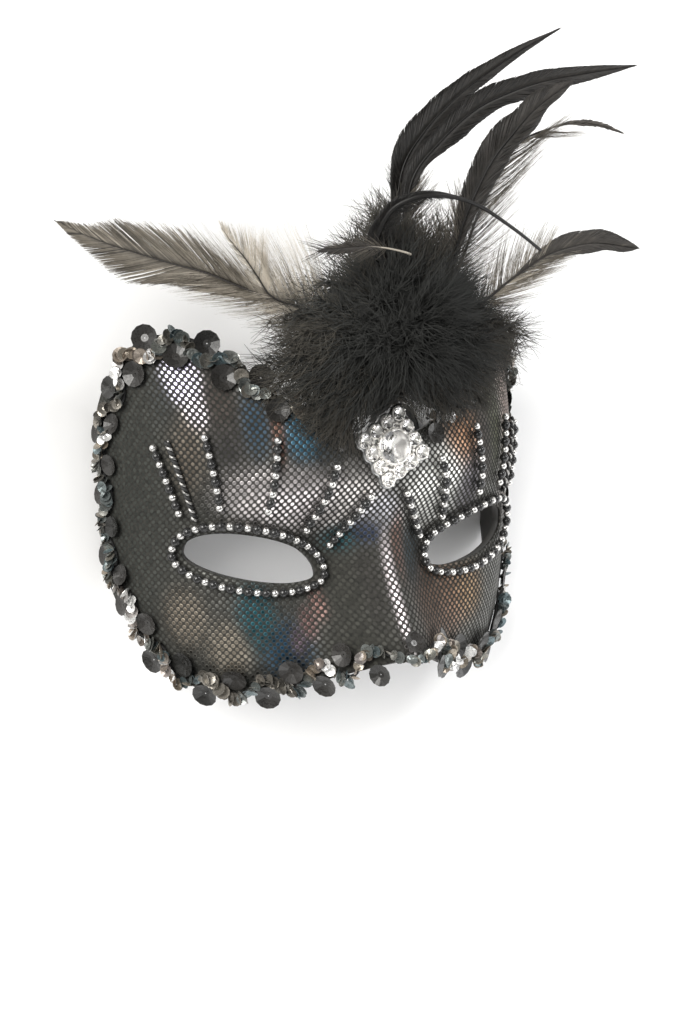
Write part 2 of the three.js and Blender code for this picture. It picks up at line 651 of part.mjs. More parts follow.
function strapGeometry() {
  const points = STRAP_HALF_ROUTE.map((point) => new THREE.Vector3(...point));
  const mirrored = STRAP_HALF_ROUTE.map(([x, y, z]) => new THREE.Vector3(-x, y, z)).reverse();
  const route = new THREE.CatmullRomCurve3([...points, ...mirrored]);
  const [thick, wide] = [STRAP_HALF_THICKNESS, STRAP_WIDTH / 2];
  const quarter = [[thick, wide - STRAP_CORNER], [thick - STRAP_CORNER, wide]];
  const outline = [
    ...quarter,
    ...quarter.map(([x, y]) => [-x, y]).reverse(),
    ...quarter.map(([x, y]) => [-x, -y]),
    ...quarter.map(([x, y]) => [x, -y]).reverse(),
  ];
  const section = new THREE.Shape(outline.map(([x, y]) => new THREE.Vector2(x, y)));
  return new THREE.ExtrudeGeometry(section, { steps: STRAP_STEPS, extrudePath: route, bevelEnabled: false });
}

addMesh('strap', strapGeometry(), 'elastic');

for (const [label, side] of [['left', 1], ['right', -1]]) {
  const rows = [TAB.height - TAB.halfLength, TAB.height, TAB.height + TAB.halfLength];
  const outer = -SHELL_THICKNESS - TOUCH_GAP;
  const angles = [TAB.fromAngle, TAB.toAngle];
  const at = (lift) => rows.map((height) => angles.map((angle) => lifted(side * angle, height, lift)));
  const tab = geometryFromTriangles(trianglesBetween(at(outer), at(outer - TAB.thickness)));
  addMesh(`strap_tab_${label}`, tab, 'elastic');
}

// The origin is at the middle of the underside of everything but the loose strap

const box = new THREE.Box3();
mask.children.filter(({ name }) => name !== 'strap').forEach((mesh) => box.expandByObject(mesh, true));
const middle = box.getCenter(new THREE.Vector3());
mask.position.set(-middle.x, -middle.y, 0);

const object = new THREE.Group();
object.add(mask);

export default object;
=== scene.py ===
# Masquerade eye mask, the looks: metallic mesh fabric on a moulded shell, a braid of cup sequins, gloss
# beads, a jewel, marabou down, feathers and an elastic strap. Lengths are millimetres in the mask's own
# frame, with its zero on the midline at the eye line, until a piece is made. A place on the mask is an
# angle round the face, in degrees from the midline, and a height above the eye line.

import math

import bpy
import numpy as np
from mathutils import Matrix, Quaternion, Vector


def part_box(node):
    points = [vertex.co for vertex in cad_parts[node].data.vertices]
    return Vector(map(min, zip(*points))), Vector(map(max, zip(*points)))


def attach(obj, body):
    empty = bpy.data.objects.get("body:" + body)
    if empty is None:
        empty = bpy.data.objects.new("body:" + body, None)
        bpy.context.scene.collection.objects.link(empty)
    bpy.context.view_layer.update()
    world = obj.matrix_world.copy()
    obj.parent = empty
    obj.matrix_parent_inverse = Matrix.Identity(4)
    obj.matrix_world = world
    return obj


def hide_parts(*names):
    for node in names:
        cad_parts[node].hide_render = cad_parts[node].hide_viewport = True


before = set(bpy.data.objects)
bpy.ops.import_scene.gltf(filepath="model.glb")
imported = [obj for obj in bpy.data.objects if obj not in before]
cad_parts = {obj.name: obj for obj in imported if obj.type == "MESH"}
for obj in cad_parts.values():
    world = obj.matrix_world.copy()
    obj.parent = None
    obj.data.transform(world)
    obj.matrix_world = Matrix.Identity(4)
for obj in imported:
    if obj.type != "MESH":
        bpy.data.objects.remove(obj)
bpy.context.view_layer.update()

MM = 0.001
BODY = "root"
UP = np.array([0.0, 0.0, 1.0])
UP_VECTOR = Vector((0, 0, 1))

# The moulded face
HALF_WIDTH = 75.0
CROWN_HEIGHT = 49.0
FOREHEAD_RISE = 9.0
NOSE_RISE = 23.0
NOSE_TOP = 14.5
NOSE_TIP = -34.0
SHELL_THICKNESS = 2.0

# The edge of one half, from the top centre over the lobe to the side rim, and from there to the nose
TOP_EDGE = [
    (0, 37), (8, 38.5), (14, 41.5), (20, 46), (27, 53.5), (34, 61.5), (41, 67.5),
    (48, 70.5), (56, 71), (64, 68.5), (72, 63.5), (79.5, 57), (86, 49.5), (90, 43),
]
BOTTOM_EDGE = [
    (90, -3), (86, -12), (80, -20.5), (73, -29), (65, -36.5), (56, -41.5), (46, -44),
    (36, -44), (27, -42.5), (18, -39), (10, -34.5), (4, -32), (0, -31.5),
]

# How finely shell and fabric are cut up: between two edge points, along the side rim, along the midline and
# from the eye hole to the edge. The last is in how many steps the cloth is measured across.
EDGE_DETAIL = 8
RIM_STEPS = 24
MIDLINE_STEPS = 56
SKIN_ROWS = 26
WEAVE_STEPS = 24

# The ring of beads round an eye hole, and how much smaller the hole is
EYE = {"angle": 34.8, "height": -1.2, "half_length": 28.5, "up": 13.0, "down": 8.3, "tilt": 9.7,
       "radius": 77.0, "power": 0.9}
HOLE_INSIDE_RING = 3.2
RING_BEADS = 44
RING_STEPS = 720

# Where the face sinks at the eyes and swells at the cheeks and the brow: place across and its reach, height
# and its reach, rise
FACE_FORMS = [(21, 12.5, 2, 13.5, -5.2), (46, 19, -25, 14.5, 2.8), (31, 23, 23, 9.5, 2.8)]

# The fabric lies between two heights above the moulded surface, and beads and jewel sit a gap above it. Its
# dots are laid out as if a share of the nose's height were missing, since it is stretched there. A dot fades
# out between two distances from its middle, which are shares of the spacing.
FABRIC_BOTTOM = 0.3
FABRIC_TOP = 0.8
SEAT_GAP = 0.3
NOSE_STRETCH = 0.5
DOT_SPACING = 1.65
DOT_EDGE = (0.25, 0.44)

# Beads and their thread by radius, silver and black by turns, and from where to where each short row runs
SILVER_BEAD = 1.25
BLACK_BEAD = 1.5
BEAD_THREAD = 0.7
RAY_BEADS = 9
BEAD_RAYS = [
    ((61, 36.5), (53.5, 16.5)), ((46, 39.5), (42.5, 18.5)), ((28, 38), (30.5, 17.5)),
    ((14.5, 29.5), (19.5, 10.5)), ((5, 20), (12, 4)),
]

TWISTED_CORD = {"from": (57, 38.5), "to": (49, 14), "turns": 9, "lift": 1.1, "swing": 0.5, "radius": 0.55,
                "steps": 120}

# The braid: a rope of small sequins that waves along the edge, with a large black one in each bend. Its
# inset is from the shell's edge, and it is narrower behind the puff, under the nose and at the side rims.
BRAID_WAVE = 19.9
BRAID_INSET = 3.5
BRAID_NARROWING = 0.82
INSET_BEHIND_PUFF = 0.4
INSET_AT_NOSE = 0.8
BEHIND_PUFF_ANGLES = (16, 34)
NOSE_ANGLE = 12
SIDE_ANGLES = (68, 85)
BRAID_ABOVE_FLOOR = 1.4
BRAID_LIFT = 2.0
BRAID_OVER_NOSE = {"rise": 1.6, "reach": 27}
BRAID_START = 15.5
COURSE_STEPS = 6000

# Sequins of both kinds: swing either way of the braid's middle, radius, lift, tilt in degrees, and how much
# they stray from it. The rope's tint runs on from one to the next over a stretch of so many waves. A sequin's
# profile goes round its wall, by share of its radius and rise.
ROPE = {"swing": 2.9, "swing_stray": 0.4, "radius": 2.3, "sizes": (0.75, 1.15), "lift": (0.4, 2.0),
        "tilt": 36, "stray": 0.42, "per_wave": 20, "tints": (0.45, 1.0), "tint_stray": 0.06}
LARGE_SEQUIN = {"swing": 3.5, "radius": 4.2, "lift": (-0.4, 0.0), "tilt": 6, "stray": 0.1, "tints": (0, 0.38)}
ROPE_TINTS = [0.5, 0.58, 0.62, 0.7, 0.78, 0.84, 0.98, 0.98]
TINT_STRETCH = 0.35
SEQUIN_TILT_STRAY = 5
SEQUIN_SIDES = 12
SEQUIN_PROFILE = [(0.06, -0.025), (0.28, -0.025), (1.0, 0.25), (1.0, 0.285), (0.3, 0.012), (0.06, 0.012)]
BRAID_THREAD = {"per_wave": 24, "depth": 0.45, "radius": 0.6}

# The jewel: half_diagonal reaches to the middle of a corner stone, and plate is its plate's thickness. The
# plate's corners and the stones are given by radius. The down leaves a column over the jewel free, which
# widens and leans with each millimetre up.
JEWEL = {"angle": 0.3, "height": 34.6, "turn": -13.0, "half_diagonal": 10.6, "plate": 1.6}
JEWEL_CORNER = 2.9
SMALL_STONE = 2.15
CENTRE_STONE = 5.6
JEWEL_COLUMN = {"margin": 2.3, "widening": 0.05, "lean": (0.5, -0.05), "bottom": -3, "top": 30}

# How far the down reaches round its middle: direction in degrees from the wearer's left, distance
PUFF_CENTRE = np.array([0.0, 72.0, 66.0])
PUFF_OUTLINE = [
    (-30, 47), (-15, 51), (-4, 49), (5, 40), (14, 32), (40, 30), (70, 28), (85, 30), (94, 36), (106, 34),
    (123, 31), (146, 31), (164, 39), (180, 44), (205, 45), (225, 43), (240, 42), (250, 41), (260, 33),
    (270, 26), (286, 28), (297, 36), (304, 41), (316, 42), (324, 46),
]
# Its depth over and under its middle, and its gap to the mask. Over a stretch of heights above the eye line
# its edge goes from lying on the mask to standing out behind it at a level of its own.
PUFF_DOME = 17.0
PUFF_UNDER = 12.0
PUFF_SURFACE_GAP = 2.6
PUFF_BACK = (52, 72)
PUFF_BACK_EDGE = 59.0
# Rings of its solid core: share of the outline, share of the depth
PUFF_CORE = [
    (0.01, 0.6), (0.3, 0.58), (0.5, 0.5), (0.64, 0.32), (0.72, 0.0), (0.64, -0.35), (0.5, -0.5),
    (0.3, -0.6), (0.01, -0.6),
]
PUFF_CORE_SIDES = 48
PUFF_CORE_STRAY = 0.07

# Down grows in small plumes. A stem starts at a share of the way to its tip, and its barbs lean off it. They
# bend outwards, curl, sag and wave by up to these shares of their length. Radii are at a barb's root and tip.
PLUMES_RISING = 0.7
STEM_START = 0.45
STEM_STRAY = 0.3
STRAND_LEAN = (25, 75)
STRAND_BEND = 0.5
STRAND_CURL = 0.35
STRAND_SAG = 0.1
STRAND_WAVE = 0.1
STRAND_CLEARANCE = 1.8
STRAND_STEPS = 4
DOWN_BARBS = 56
DOWN_RADII = (0.21, 0.05)
WISP_BARBS = 80
WISP_RADII = (0.16, 0.04)
# Each group's directions, plumes, tips as shares of the outline, barb lengths, furthest share and rise
DOWN_GROUPS = [
    ((0, 360), 60, (0.0, 0.6), (7, 13), 1.06, 0), ((0, 360), 130, (0.5, 0.97), (7, 12), 1.06, 0),
]
WISP_GROUPS = [
    ((0, 360), 48, (0.72, 1.0), (7, 14), 1.12, 0), ((172, 262), 28, (0.72, 1.0), (5, 10), 1.06, 0),
    ((-42, 4), 24, (0.7, 1.0), (5, 11), 1.12, 5), ((48, 84), 10, (0.85, 1.25), (6, 12), 1.5, 5),
    ((84, 104), 13, (0.85, 1.1), (6, 11), 1.25, 3),
]

# Its shading leans outwards this strongly, from a place this far under its middle
DOWN_SOFTNESS = 2.6
DOWN_LEAN_DEPTH = 30

# The course of each quill, from its root
FEATHERS = {
    "feather_top_long": [
        (2, 80.5, 58), (2.5, 100, 60), (4, 119, 62), (11.5, 131, 63), (22.5, 141.5, 64), (33, 149, 65),
        (45.5, 156.5, 66), (60, 164, 68),
    ],
    "feather_top_broad": [
        (2.5, 80, 61), (3, 101.5, 64.5), (5, 117, 67), (14, 128, 69), (25.5, 137.5, 71), (37.5, 143, 73),
        (49, 146.5, 75), (65, 149.5, 77), (81.5, 152, 79),
    ],
    "feather_right_tall": [
        (11.5, 74, 62.5), (17.5, 89, 67), (20, 102.5, 71), (23.5, 113, 74), (27.5, 122, 77), (33, 129, 79),
        (39, 136, 81), (46, 141.5, 83), (52.5, 145.5, 85),
    ],
    "feather_thin_curl": [
        (14.5, 73.5, 58.5), (25.5, 91.5, 61), (31, 106, 63), (37.5, 119, 65.5), (43.5, 128, 68),
        (49, 131, 69), (55.5, 133, 70), (62, 134.5, 71), (72, 134, 72), (82, 131.5, 72),
    ],
    "bare_quill": [
        (-9, 91, 72), (-13, 98, 75), (-11, 106, 80), (-6, 109.5, 84), (0.5, 110.5, 86), (9.5, 109.5, 86),
        (18, 107, 85), (27, 103, 83), (36, 99, 80), (45, 94.5, 77),
    ],
    "feather_right_short": [
        (10.5, 66, 60), (24, 73, 60), (33.5, 79, 62), (43, 86, 64), (54.5, 93, 66), (64, 96, 68),
        (73.5, 97, 70), (88.5, 95, 72),
    ],
    "feather_left_long": [
        (-20, 73, 57.5), (-33, 78.5, 56.5), (-40.5, 82, 55.5), (-50, 86, 54.5), (-58.5, 89.5, 53.5),
        (-69.5, 92.5, 52.5), (-81, 96, 51.5), (-92.5, 100, 50), (-102.5, 105, 48),
    ],
    "feather_left_downy": [
        (-17, 74.5, 62), (-34.5, 79.5, 61), (-41.5, 82.5, 61), (-45.5, 88, 61), (-49.5, 93.5, 61),
        (-53.5, 98, 61), (-56.5, 102, 61),
    ],
    "feather_small_centre": [
        (-1, 93.6, 74), (-5.2, 93.7, 81), (-9.5, 94.5, 82.8), (-15, 95.4, 83.4), (-21.6, 95.8, 83.5),
        (-28, 95.4, 82.2), (-35.5, 94.7, 79.8),
    ],
}

# The way a vane faces, and how far its two sides lie above and below the quill. Barbs hold together in locks
# of three to eight, which lean and shade alike: a barb strays partly with its lock and partly by itself.
VANE_FACING = np.array([-0.3, 0.05, 0.95])
VANE_OFFSET = 0.12
QUILL_STEPS = 160
BARB_STEPS = 4
LOCK_SIZES = (3, 9)
LOCK_LEAN = 0.7
BARB_LEAN = 0.5
LOCK_SHADE = 0.17
BARB_SHADE = 0.03

# The strap: its course from a tab to the midline, and its section in shares of thickness and width
STRAP_WIDTH = 4.0
STRAP_THICKNESS = 1.2
STRAP_HALF_ROUTE = [
    (69.2, 24, 5), (63.5, 24, 4.2), (57.5, 24, 2.5), (52.3, 24.5, 2.1), (47.5, 27, 2.1), (44.5, 31.2, 2.1),
    (43, 37, 2.1), (40, 41.6, 2.1), (35, 43.3, 2.1), (29, 40.8, 2.1), (26.25, 34.4, 2.1),
    (26.25, 17.2, 2.1), (24.6, 12.1, 2.1), (20.2, 8.9, 2.1), (14.8, 8.9, 2.1), (10.4, 12.1, 2.1),
    (8.75, 17.2, 2.1), (8.75, 34.4, 2.1), (7.1, 39.5, 2.1), (2.7, 42.7, 2.1),
]
STRAP_STEPS = 320
STRAP_SECTION = [
    (0.5, -0.42), (0.5, 0.42), (0.3, 0.5), (-0.3, 0.5), (-0.5, 0.42), (-0.5, -0.42), (-0.3, -0.5),
    (0.3, -0.5),
]


# Small sums

def smooth(t):
    t = np.clip(t, 0, 1)
    return t * t * (3 - 2 * t)


def smoothstep(t, low, high):
    return smooth((t - low) / (high - low))


def bump(distance, width):
    return np.exp(-((distance / width) ** 2))


def mix(a, b, share):
    return a + (b - a) * share


def unit(v):
    v = np.asarray(v, float)
    return v / np.maximum(np.linalg.norm(v, axis=-1, keepdims=True), 1e-12)


def turns(count):
    """Angles spread evenly over a full turn."""
    return 2 * np.pi * np.arange(count) / count


def heading(line, is_closed=False):
    """The way ahead at each point of a line, or of each line in a stack of them."""
    if is_closed:
        return unit(np.roll(line, -1, 0) - np.roll(line, 1, 0))
    return unit(np.gradient(line, axis=-2))


def square_to(ahead, up):
    """The way aside from a way ahead, and the way up that is square to both."""
    side = unit(np.cross(ahead, up))
    return side, np.cross(side, ahead)


def run_length(line):
    """How far along a line each of its points is."""
    return np.concatenate([[0], np.cumsum(np.linalg.norm(np.diff(line, axis=0), axis=-1))])


# The moulded surface

def half_width_at(height):
    """Half the mask's width, without regard to its outline."""
    return HALF_WIDTH + np.where(height < 12, -0.0029 * (height - 12) ** 2, 0.01 * (height - 12))


def crown_at(height):
    """How far the midline stands out, apart from the nose."""
    forehead = FOREHEAD_RISE * bump(height - 37, 25) - 0.0031 * np.maximum(height - 19, 0) ** 2
    return CROWN_HEIGHT + forehead - 0.005 * np.maximum(-21 - height, 0) ** 2


def nose_at(x, height):
    """How far the nose stands out from the crown."""
    down = (NOSE_TOP - height) / (NOSE_TOP - NOSE_TIP)
    rise = np.clip(down, 0, 1) ** 1.35
    under_tip = 1 - 0.35 * smooth((NOSE_TIP - height) / 11)
    return NOSE_RISE * rise * under_tip * bump(x, 9.4 + 8.4 * smooth(down))


def face_point(angle, height):
    angle, height = np.broadcast_arrays(np.asarray(angle, float), np.asarray(height, float))
    x = half_width_at(height) * np.sin(np.radians(angle))
    z = crown_at(height)
    for across, reach, up, spread, rise in FACE_FORMS:
        z = z + rise * bump(np.abs(x) - across, reach) * bump(height - up, spread)
    z = z * np.cos(np.radians(angle)) + nose_at(x, height)
    return np.stack([x, height, z], -1)


def face_normal(angle, height):
    step = 0.2
    along = face_point(angle + step, height) - face_point(angle - step, height)
    up = face_point(angle, height + step) - face_point(angle, height - step)
    return unit(np.cross(along, up))


def lifted(angle, height, lift):
    """Places at a height above the moulded surface. At the side rims they keep to the floor's level."""
    angle, height = np.broadcast_arrays(np.asarray(angle, float), np.asarray(height, float))
    point = face_point(angle, height) + face_normal(angle, height) * np.asarray(lift, float)[..., None]
    point[..., 2] = np.where(np.abs(angle) > 89.999, 0, point[..., 2])
    return point


def degree_length(angle, height):
    """Millimetres to a degree, across the surface."""
    return np.linalg.norm(face_point(angle + 0.5, height) - face_point(angle - 0.5, height), axis=-1)


def eye_point(turn, grow):
    """Angle and height of a place on the ring round an eye hole, the ring grown outwards by so much."""
    sine = np.sin(turn)
    x = (EYE["half_length"] + grow) * np.cos(turn)
    y = (np.where(sine > 0, EYE["up"], EYE["down"]) + grow) * np.sign(sine) * np.abs(sine) ** EYE["power"]
    c, s = math.cos(math.radians(EYE["tilt"])), math.sin(math.radians(EYE["tilt"]))
    return EYE["angle"] + np.degrees((x * c - y * s) / EYE["radius"]), EYE["height"] + x * s + y * c


def spline(points, steps):
    """Places along a smooth curve through a list of points."""
    points = np.array(points, float)
    last = len(points) - 1
    t = np.linspace(0, last, steps + 1)
    i = np.minimum(t.astype(int), last - 1)
    t = (t - i)[:, None]
    p0, p1, p2, p3 = (points[np.clip(i + k, 0, last)] for k in (-1, 0, 1, 2))
    v0, v1 = (p2 - p0) / 2, (p3 - p1) / 2
    return ((2 * p1 - 2 * p2 + v0 + v1) * t ** 3 + (-3 * p1 + 3 * p2 - 2 * v0 - v1) * t ** 2 + v0 * t + p1)


def half_edge(detail, rim_steps):
    """Angles and heights along the edge of one half."""
    top = spline(TOP_EDGE, (len(TOP_EDGE) - 1) * detail)
    rim = np.linspace(TOP_EDGE[-1], BOTTOM_EDGE[0], rim_steps + 1)
    bottom = spline(BOTTOM_EDGE, (len(BOTTOM_EDGE) - 1) * detail)
    return np.concatenate([top, rim[1:], bottom[1:]])


# The frame's own zero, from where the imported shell's lowest edge is

coarse = half_edge(detail=1, rim_steps=3)
lowest = min(lifted(coarse[:, 0], coarse[:, 1], lift)[:, 1].min() for lift in (0, -SHELL_THICKNESS))
shell_low, shell_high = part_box("mask_shell")
ORIGIN = np.array([(shell_low[0] + shell_high[0]) / 2, shell_low[1] - lowest * MM, 0.0])


def placed(points):
    return np.asarray(points, float) * MM + ORIGIN


# Pieces

def add_object(name, data):
    made = bpy.data.objects.new(name, data)
    bpy.context.scene.collection.objects.link(made)
    return made


def merged(points, faces, attributes):
    """The same shape with the points that lie on each other made one."""
    _, first, inverse = np.unique(np.round(points, 8), axis=0, return_index=True, return_inverse=True)
    inverse = inverse.ravel()
    faces = [[int(inverse[i]) for i in face] for face in faces]
    faces = [face for face in faces if len(set(face)) == len(face)]
    return points[first], faces, {key: values[first] for key, values in attributes.items()}


def make_piece(name, points, faces, material, node_names, slot, attributes=None, is_smooth=True,
               merge=False):
    """An object on the mask's body, which replaces the named CAD nodes. Attributes are values by point."""
    points = placed(points).reshape(-1, 3)
    attributes = attributes or {}
    if merge:
        points, faces, attributes = merged(points, faces, attributes)
    mesh = bpy.data.meshes.new(name)
    mesh.from_pydata(points.tolist(), [], faces)
    for key, values in attributes.items():
        kind, field = ("FLOAT", "value") if values.ndim == 1 else ("FLOAT_VECTOR", "vector")
        layer = mesh.attributes.new(key, kind, "POINT")
        layer.data.foreach_set(field, values.ravel())
    mesh.polygons.foreach_set("use_smooth", np.full(len(mesh.polygons), is_smooth))
    mesh.validate()
    mesh.update()
    mesh.materials.append(MATERIALS[material])
    piece = add_object(name, mesh)
    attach(piece, BODY)
    if node_names:
        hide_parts(*node_names)
    return piece


def grid_faces(rings, corners, is_closed=False):
    """Quads between rings of points that are numbered ring by ring, and back to the first one if closed."""
    r = np.arange(rings if is_closed else rings - 1)[:, None]
    c = np.arange(corners)
    r2, c2 = (r + 1) % rings, (c + 1) % corners
    quads = np.stack([r * corners + c, r * corners + c2, r2 * corners + c2, r2 * corners + c], -1)
    return quads.reshape(-1, 4)


def end_caps(rings, corners):
    """The two end faces of a rod of rings of points."""
    last = rings * corners
    return [list(range(corners)), list(range(last - 1, last - corners - 1, -1))]


def rod_faces(rings, corners, is_closed=False):
    """The sides of a rod of rings of points and, if it is open, its two ends."""
    sides = grid_faces(rings, corners, is_closed)[:, ::-1].tolist()
    return sides if is_closed else sides + end_caps(rings, corners)


def flipped(faces):
    return [face[::-1] for face in faces]


def tubes(centres, sides, ups, widths, heights, corners):
    """Closed thin rods along the lines in centres, each a run of rings that are this wide and this high."""
    rods, steps = centres.shape[:2]
    turn = turns(corners)
    ring = (sides[:, :, None] * (widths[..., None] * np.cos(turn))[..., None]
            + ups[:, :, None] * (heights[..., None] * np.sin(turn))[..., None])
    points = (centres[:, :, None] + ring).reshape(-1, 3)
    starts = steps * corners * np.arange(rods)
    faces = (grid_faces(steps, corners)[:, ::-1] + starts[:, None, None]).reshape(-1, 4).tolist()
    caps = end_caps(steps, corners)
    faces += [[start + i for i in cap] for start in starts.tolist() for cap in caps]
    return points, faces


def gather(shapes):
    """Several shapes as one: all their points, and their faces."""
    points, faces, start = [], [], 0
    for shape, shape_faces in shapes:
        points.append(shape)
        faces += [[start + i for i in face] for face in shape_faces]
        start += len(shape)
    return np.concatenate(points), faces


def add_cord(name, line, radius, material, slot, is_closed=False):
    """A round cord of eight sides along a line."""
    side, up = square_to(heading(line, is_closed), UP + 1e-3)
    turn = turns(8)[:, None]
    points = line[:, None] + radius * (side[:, None] * np.cos(turn) + up[:, None] * np.sin(turn))
    make_piece(name, points, rod_faces(len(line), 8, is_closed), material, (), slot)


# Materials

class Paint:
    """A node material in the making. Sources are other nodes' outputs, which are linked, or plain values."""

    def __init__(self, name, color, roughness, metallic=0.0, specular=0.5):
        self.material = bpy.data.materials.new(name)
        self.material.use_nodes = True
        self.tree = self.material.node_tree
        self.shader = self.tree.nodes["Principled BSDF"]
        self.feed("Base Color", (*color, 1))
        self.feed("Roughness", roughness)
        self.feed("Metallic", metallic)
        self.feed("Specular IOR Level", specular)

    def put(self, source, socket):
        if isinstance(source, bpy.types.NodeSocket):
            self.tree.links.new(source, socket)
        else:
            socket.default_value = source

    def feed(self, socket, source):
        self.put(source, self.shader.inputs[socket])

    def node(self, kind, *sources, **settings):
        """A node: sources go into its first sockets, settings into its properties and its named sockets."""
        node = self.tree.nodes.new(kind)
        for key, value in settings.items():
            if hasattr(node, key):
                setattr(node, key, value)
            else:
                self.put(value, node.inputs[key])
        for source, socket in zip(sources, node.inputs):
            self.put(source, socket)
        return node

    def attribute(self, name, output="Fac"):
        return self.node("ShaderNodeAttribute", attribute_name=name).outputs[output]

    def calc(self, operation, *sources, clamp=False):
        return self.node("ShaderNodeMath", *sources, operation=operation, use_clamp=clamp).outputs[0]

    def vector(self, operation, *sources, **settings):
        return self.node("ShaderNodeVectorMath", *sources, operation=operation, **settings).outputs[0]

    def mapped(self, value, low, high, from_low=0.0, from_high=1.0):
        return self.node("ShaderNodeMapRange", value, from_low, from_high, low, high).outputs[0]

    def place(self):
        return self.node("ShaderNodeTexCoord").outputs["Object"]

    def noise(self, scale, detail=3.0):
        return self.node("ShaderNodeTexNoise", Vector=self.place(), Scale=scale, Detail=detail).outputs[0]

    def ramp(self, factor, *stops):
        node = self.node("ShaderNodeValToRGB", factor)
        elements = node.color_ramp.elements
        while len(elements) < len(stops):
            elements.new(0.5)
        for element, (position, color) in zip(elements, stops):
            element.position = position
            element.color = (*color, 1)
        return node.outputs[0]

    def relief(self, height, size):
        node = self.node("ShaderNodeBump", Strength=1.0, Distance=size * MM, Height=height)
        self.feed("Normal", node.outputs[0])


def mottled(name, dark, light, scale, roughness, metallic=0.0, relief=0.0):
    """A material whose colour, roughness and relief vary a little with noise."""
    paint = Paint(name, dark, roughness[0], metallic)
    field = paint.noise(scale, 4.0)
    paint.feed("Base Color", paint.ramp(field, (0.3, dark), (0.7, light)))
    paint.feed("Roughness", paint.mapped(field, *roughness, 0.3, 0.7))
    if relief:
        paint.relief(field, relief)
    return paint.material


def fabric_material():
    """Black knit with small round metal dots in rows at 45 degrees. Their colour is the attribute foil, which
    holds painted highlights and painted shade besides their tints; where it is dark, the dots are less
    glossy.
    """
    paint = Paint("mesh_fabric", (0.02, 0.02, 0.02), 0.6, specular=0.2)
    foil_and_painted_light = paint.attribute("foil_and_painted_light", "Vector")
    turned = paint.node("ShaderNodeVectorRotate", rotation_type="Z_AXIS", Angle=math.radians(45),
                        Vector=paint.attribute("weave", "Vector"))
    cells = paint.vector("SCALE", turned.outputs[0], Scale=1 / DOT_SPACING)
    split = paint.node("ShaderNodeSeparateXYZ", cells)
    x, y = (paint.calc("SUBTRACT", paint.calc("FRACT", split.outputs[i]), 0.5) for i in (0, 1))
    square = paint.calc("ADD", paint.calc("MULTIPLY", x, x), paint.calc("MULTIPLY", y, y))
    dot = paint.mapped(paint.calc("SQRT", square), 1.0, 0.0, *DOT_EDGE)
    random = paint.node("ShaderNodeTexWhiteNoise", noise_dimensions="2D", Vector=paint.vector("FLOOR", cells))
    shine = paint.mapped(random.outputs[0], 0.65, 1.25)
    strength = paint.node("ShaderNodeVectorMath", foil_and_painted_light, operation="LENGTH").outputs["Value"]
    gloss = paint.calc("MULTIPLY", dot, paint.mapped(strength, 0.0, 1.0, 0.06, 0.2))
    knit = paint.ramp(paint.noise(900.0, 2.0), (0.3, (0.013, 0.013, 0.0115)), (0.7, (0.032, 0.031, 0.027)))
    tinted = paint.vector("ADD", knit, paint.vector("SCALE", foil_and_painted_light, Scale=0.03))
    bright = paint.vector("SCALE", foil_and_painted_light, Scale=shine)
    blend = paint.node("ShaderNodeMix", data_type="RGBA", Factor=dot, A=tinted, B=bright)
    paint.feed("Base Color", blend.outputs["Result"])
    paint.feed("Metallic", gloss)
    paint.feed("Roughness", paint.mapped(gloss, 0.85, 0.32))
    paint.relief(dot, 0.08)
    return paint.material


def sequin_material():
    """Cup sequins: the attribute tint picks black, silver or a pale tinted plastic for each one."""
    paint = Paint("sequins", (0.01, 0.01, 0.01), 0.12)
    tint = paint.attribute("tint")
    paint.feed("Base Color", paint.ramp(
        tint, (0.0, (0.014, 0.014, 0.013)), (0.4, (0.03, 0.028, 0.026)), (0.45, (0.09, 0.085, 0.075)),
        (0.58, (0.27, 0.25, 0.22)), (0.7, (0.12, 0.165, 0.18)), (0.84, (0.34, 0.29, 0.23)),
        (0.91, (0.16, 0.14, 0.13)), (0.96, (0.85, 0.85, 0.84))))
    paint.feed("Metallic", paint.mapped(tint, 0.1, 0.6, 0.4, 0.45))
    paint.feed("Roughness", paint.mapped(paint.noise(1200.0), 0.2, 0.4, 0.3, 0.7))
    return paint.material


def bead_material():
    """Beads whose attribute tint is 0 for gloss black and 1 for silver."""
    paint = Paint("gloss_beads", (0.02, 0.02, 0.02), 0.25)
    tint = paint.attribute("tint")
    paint.feed("Base Color", paint.ramp(tint, (0.2, (0.018, 0.018, 0.018)), (0.8, (0.66, 0.65, 0.63))))
    paint.feed("Metallic", tint)
    cloud = paint.mapped(paint.noise(160.0), -0.05, 0.05)
    paint.feed("Roughness", paint.calc("ADD", paint.mapped(tint, 0.22, 0.33), cloud))
    return paint.material


def stone_material():
    """Clear glass by plain values."""
    paint = Paint("clear_stones", (1.0, 1.0, 1.0), 0.02)
    paint.feed("Transmission Weight", 1.0)
    paint.feed("IOR", 1.6)
    return paint.material


def down_material(name, dark, light):
    """Barbs that shade as one soft mass: their normals lean towards the way out of the puff."""
    paint = Paint(name, dark, 0.8, specular=0.25)
    field = paint.noise(260.0)
    paint.feed("Base Color", paint.ramp(field, (0.3, dark), (0.75, light)))
    paint.feed("Roughness", paint.mapped(field, 0.65, 0.95))
    outward = paint.vector("SUBTRACT", paint.place(), tuple(placed(PUFF_CENTRE - [0, 0, DOWN_LEAN_DEPTH])))
    lean = paint.vector("SCALE", paint.vector("NORMALIZE", outward), Scale=DOWN_SOFTNESS)
    paint.feed("Normal", paint.vector("ADD", lean, paint.node("ShaderNodeNewGeometry").outputs["Normal"]))
    return paint.material


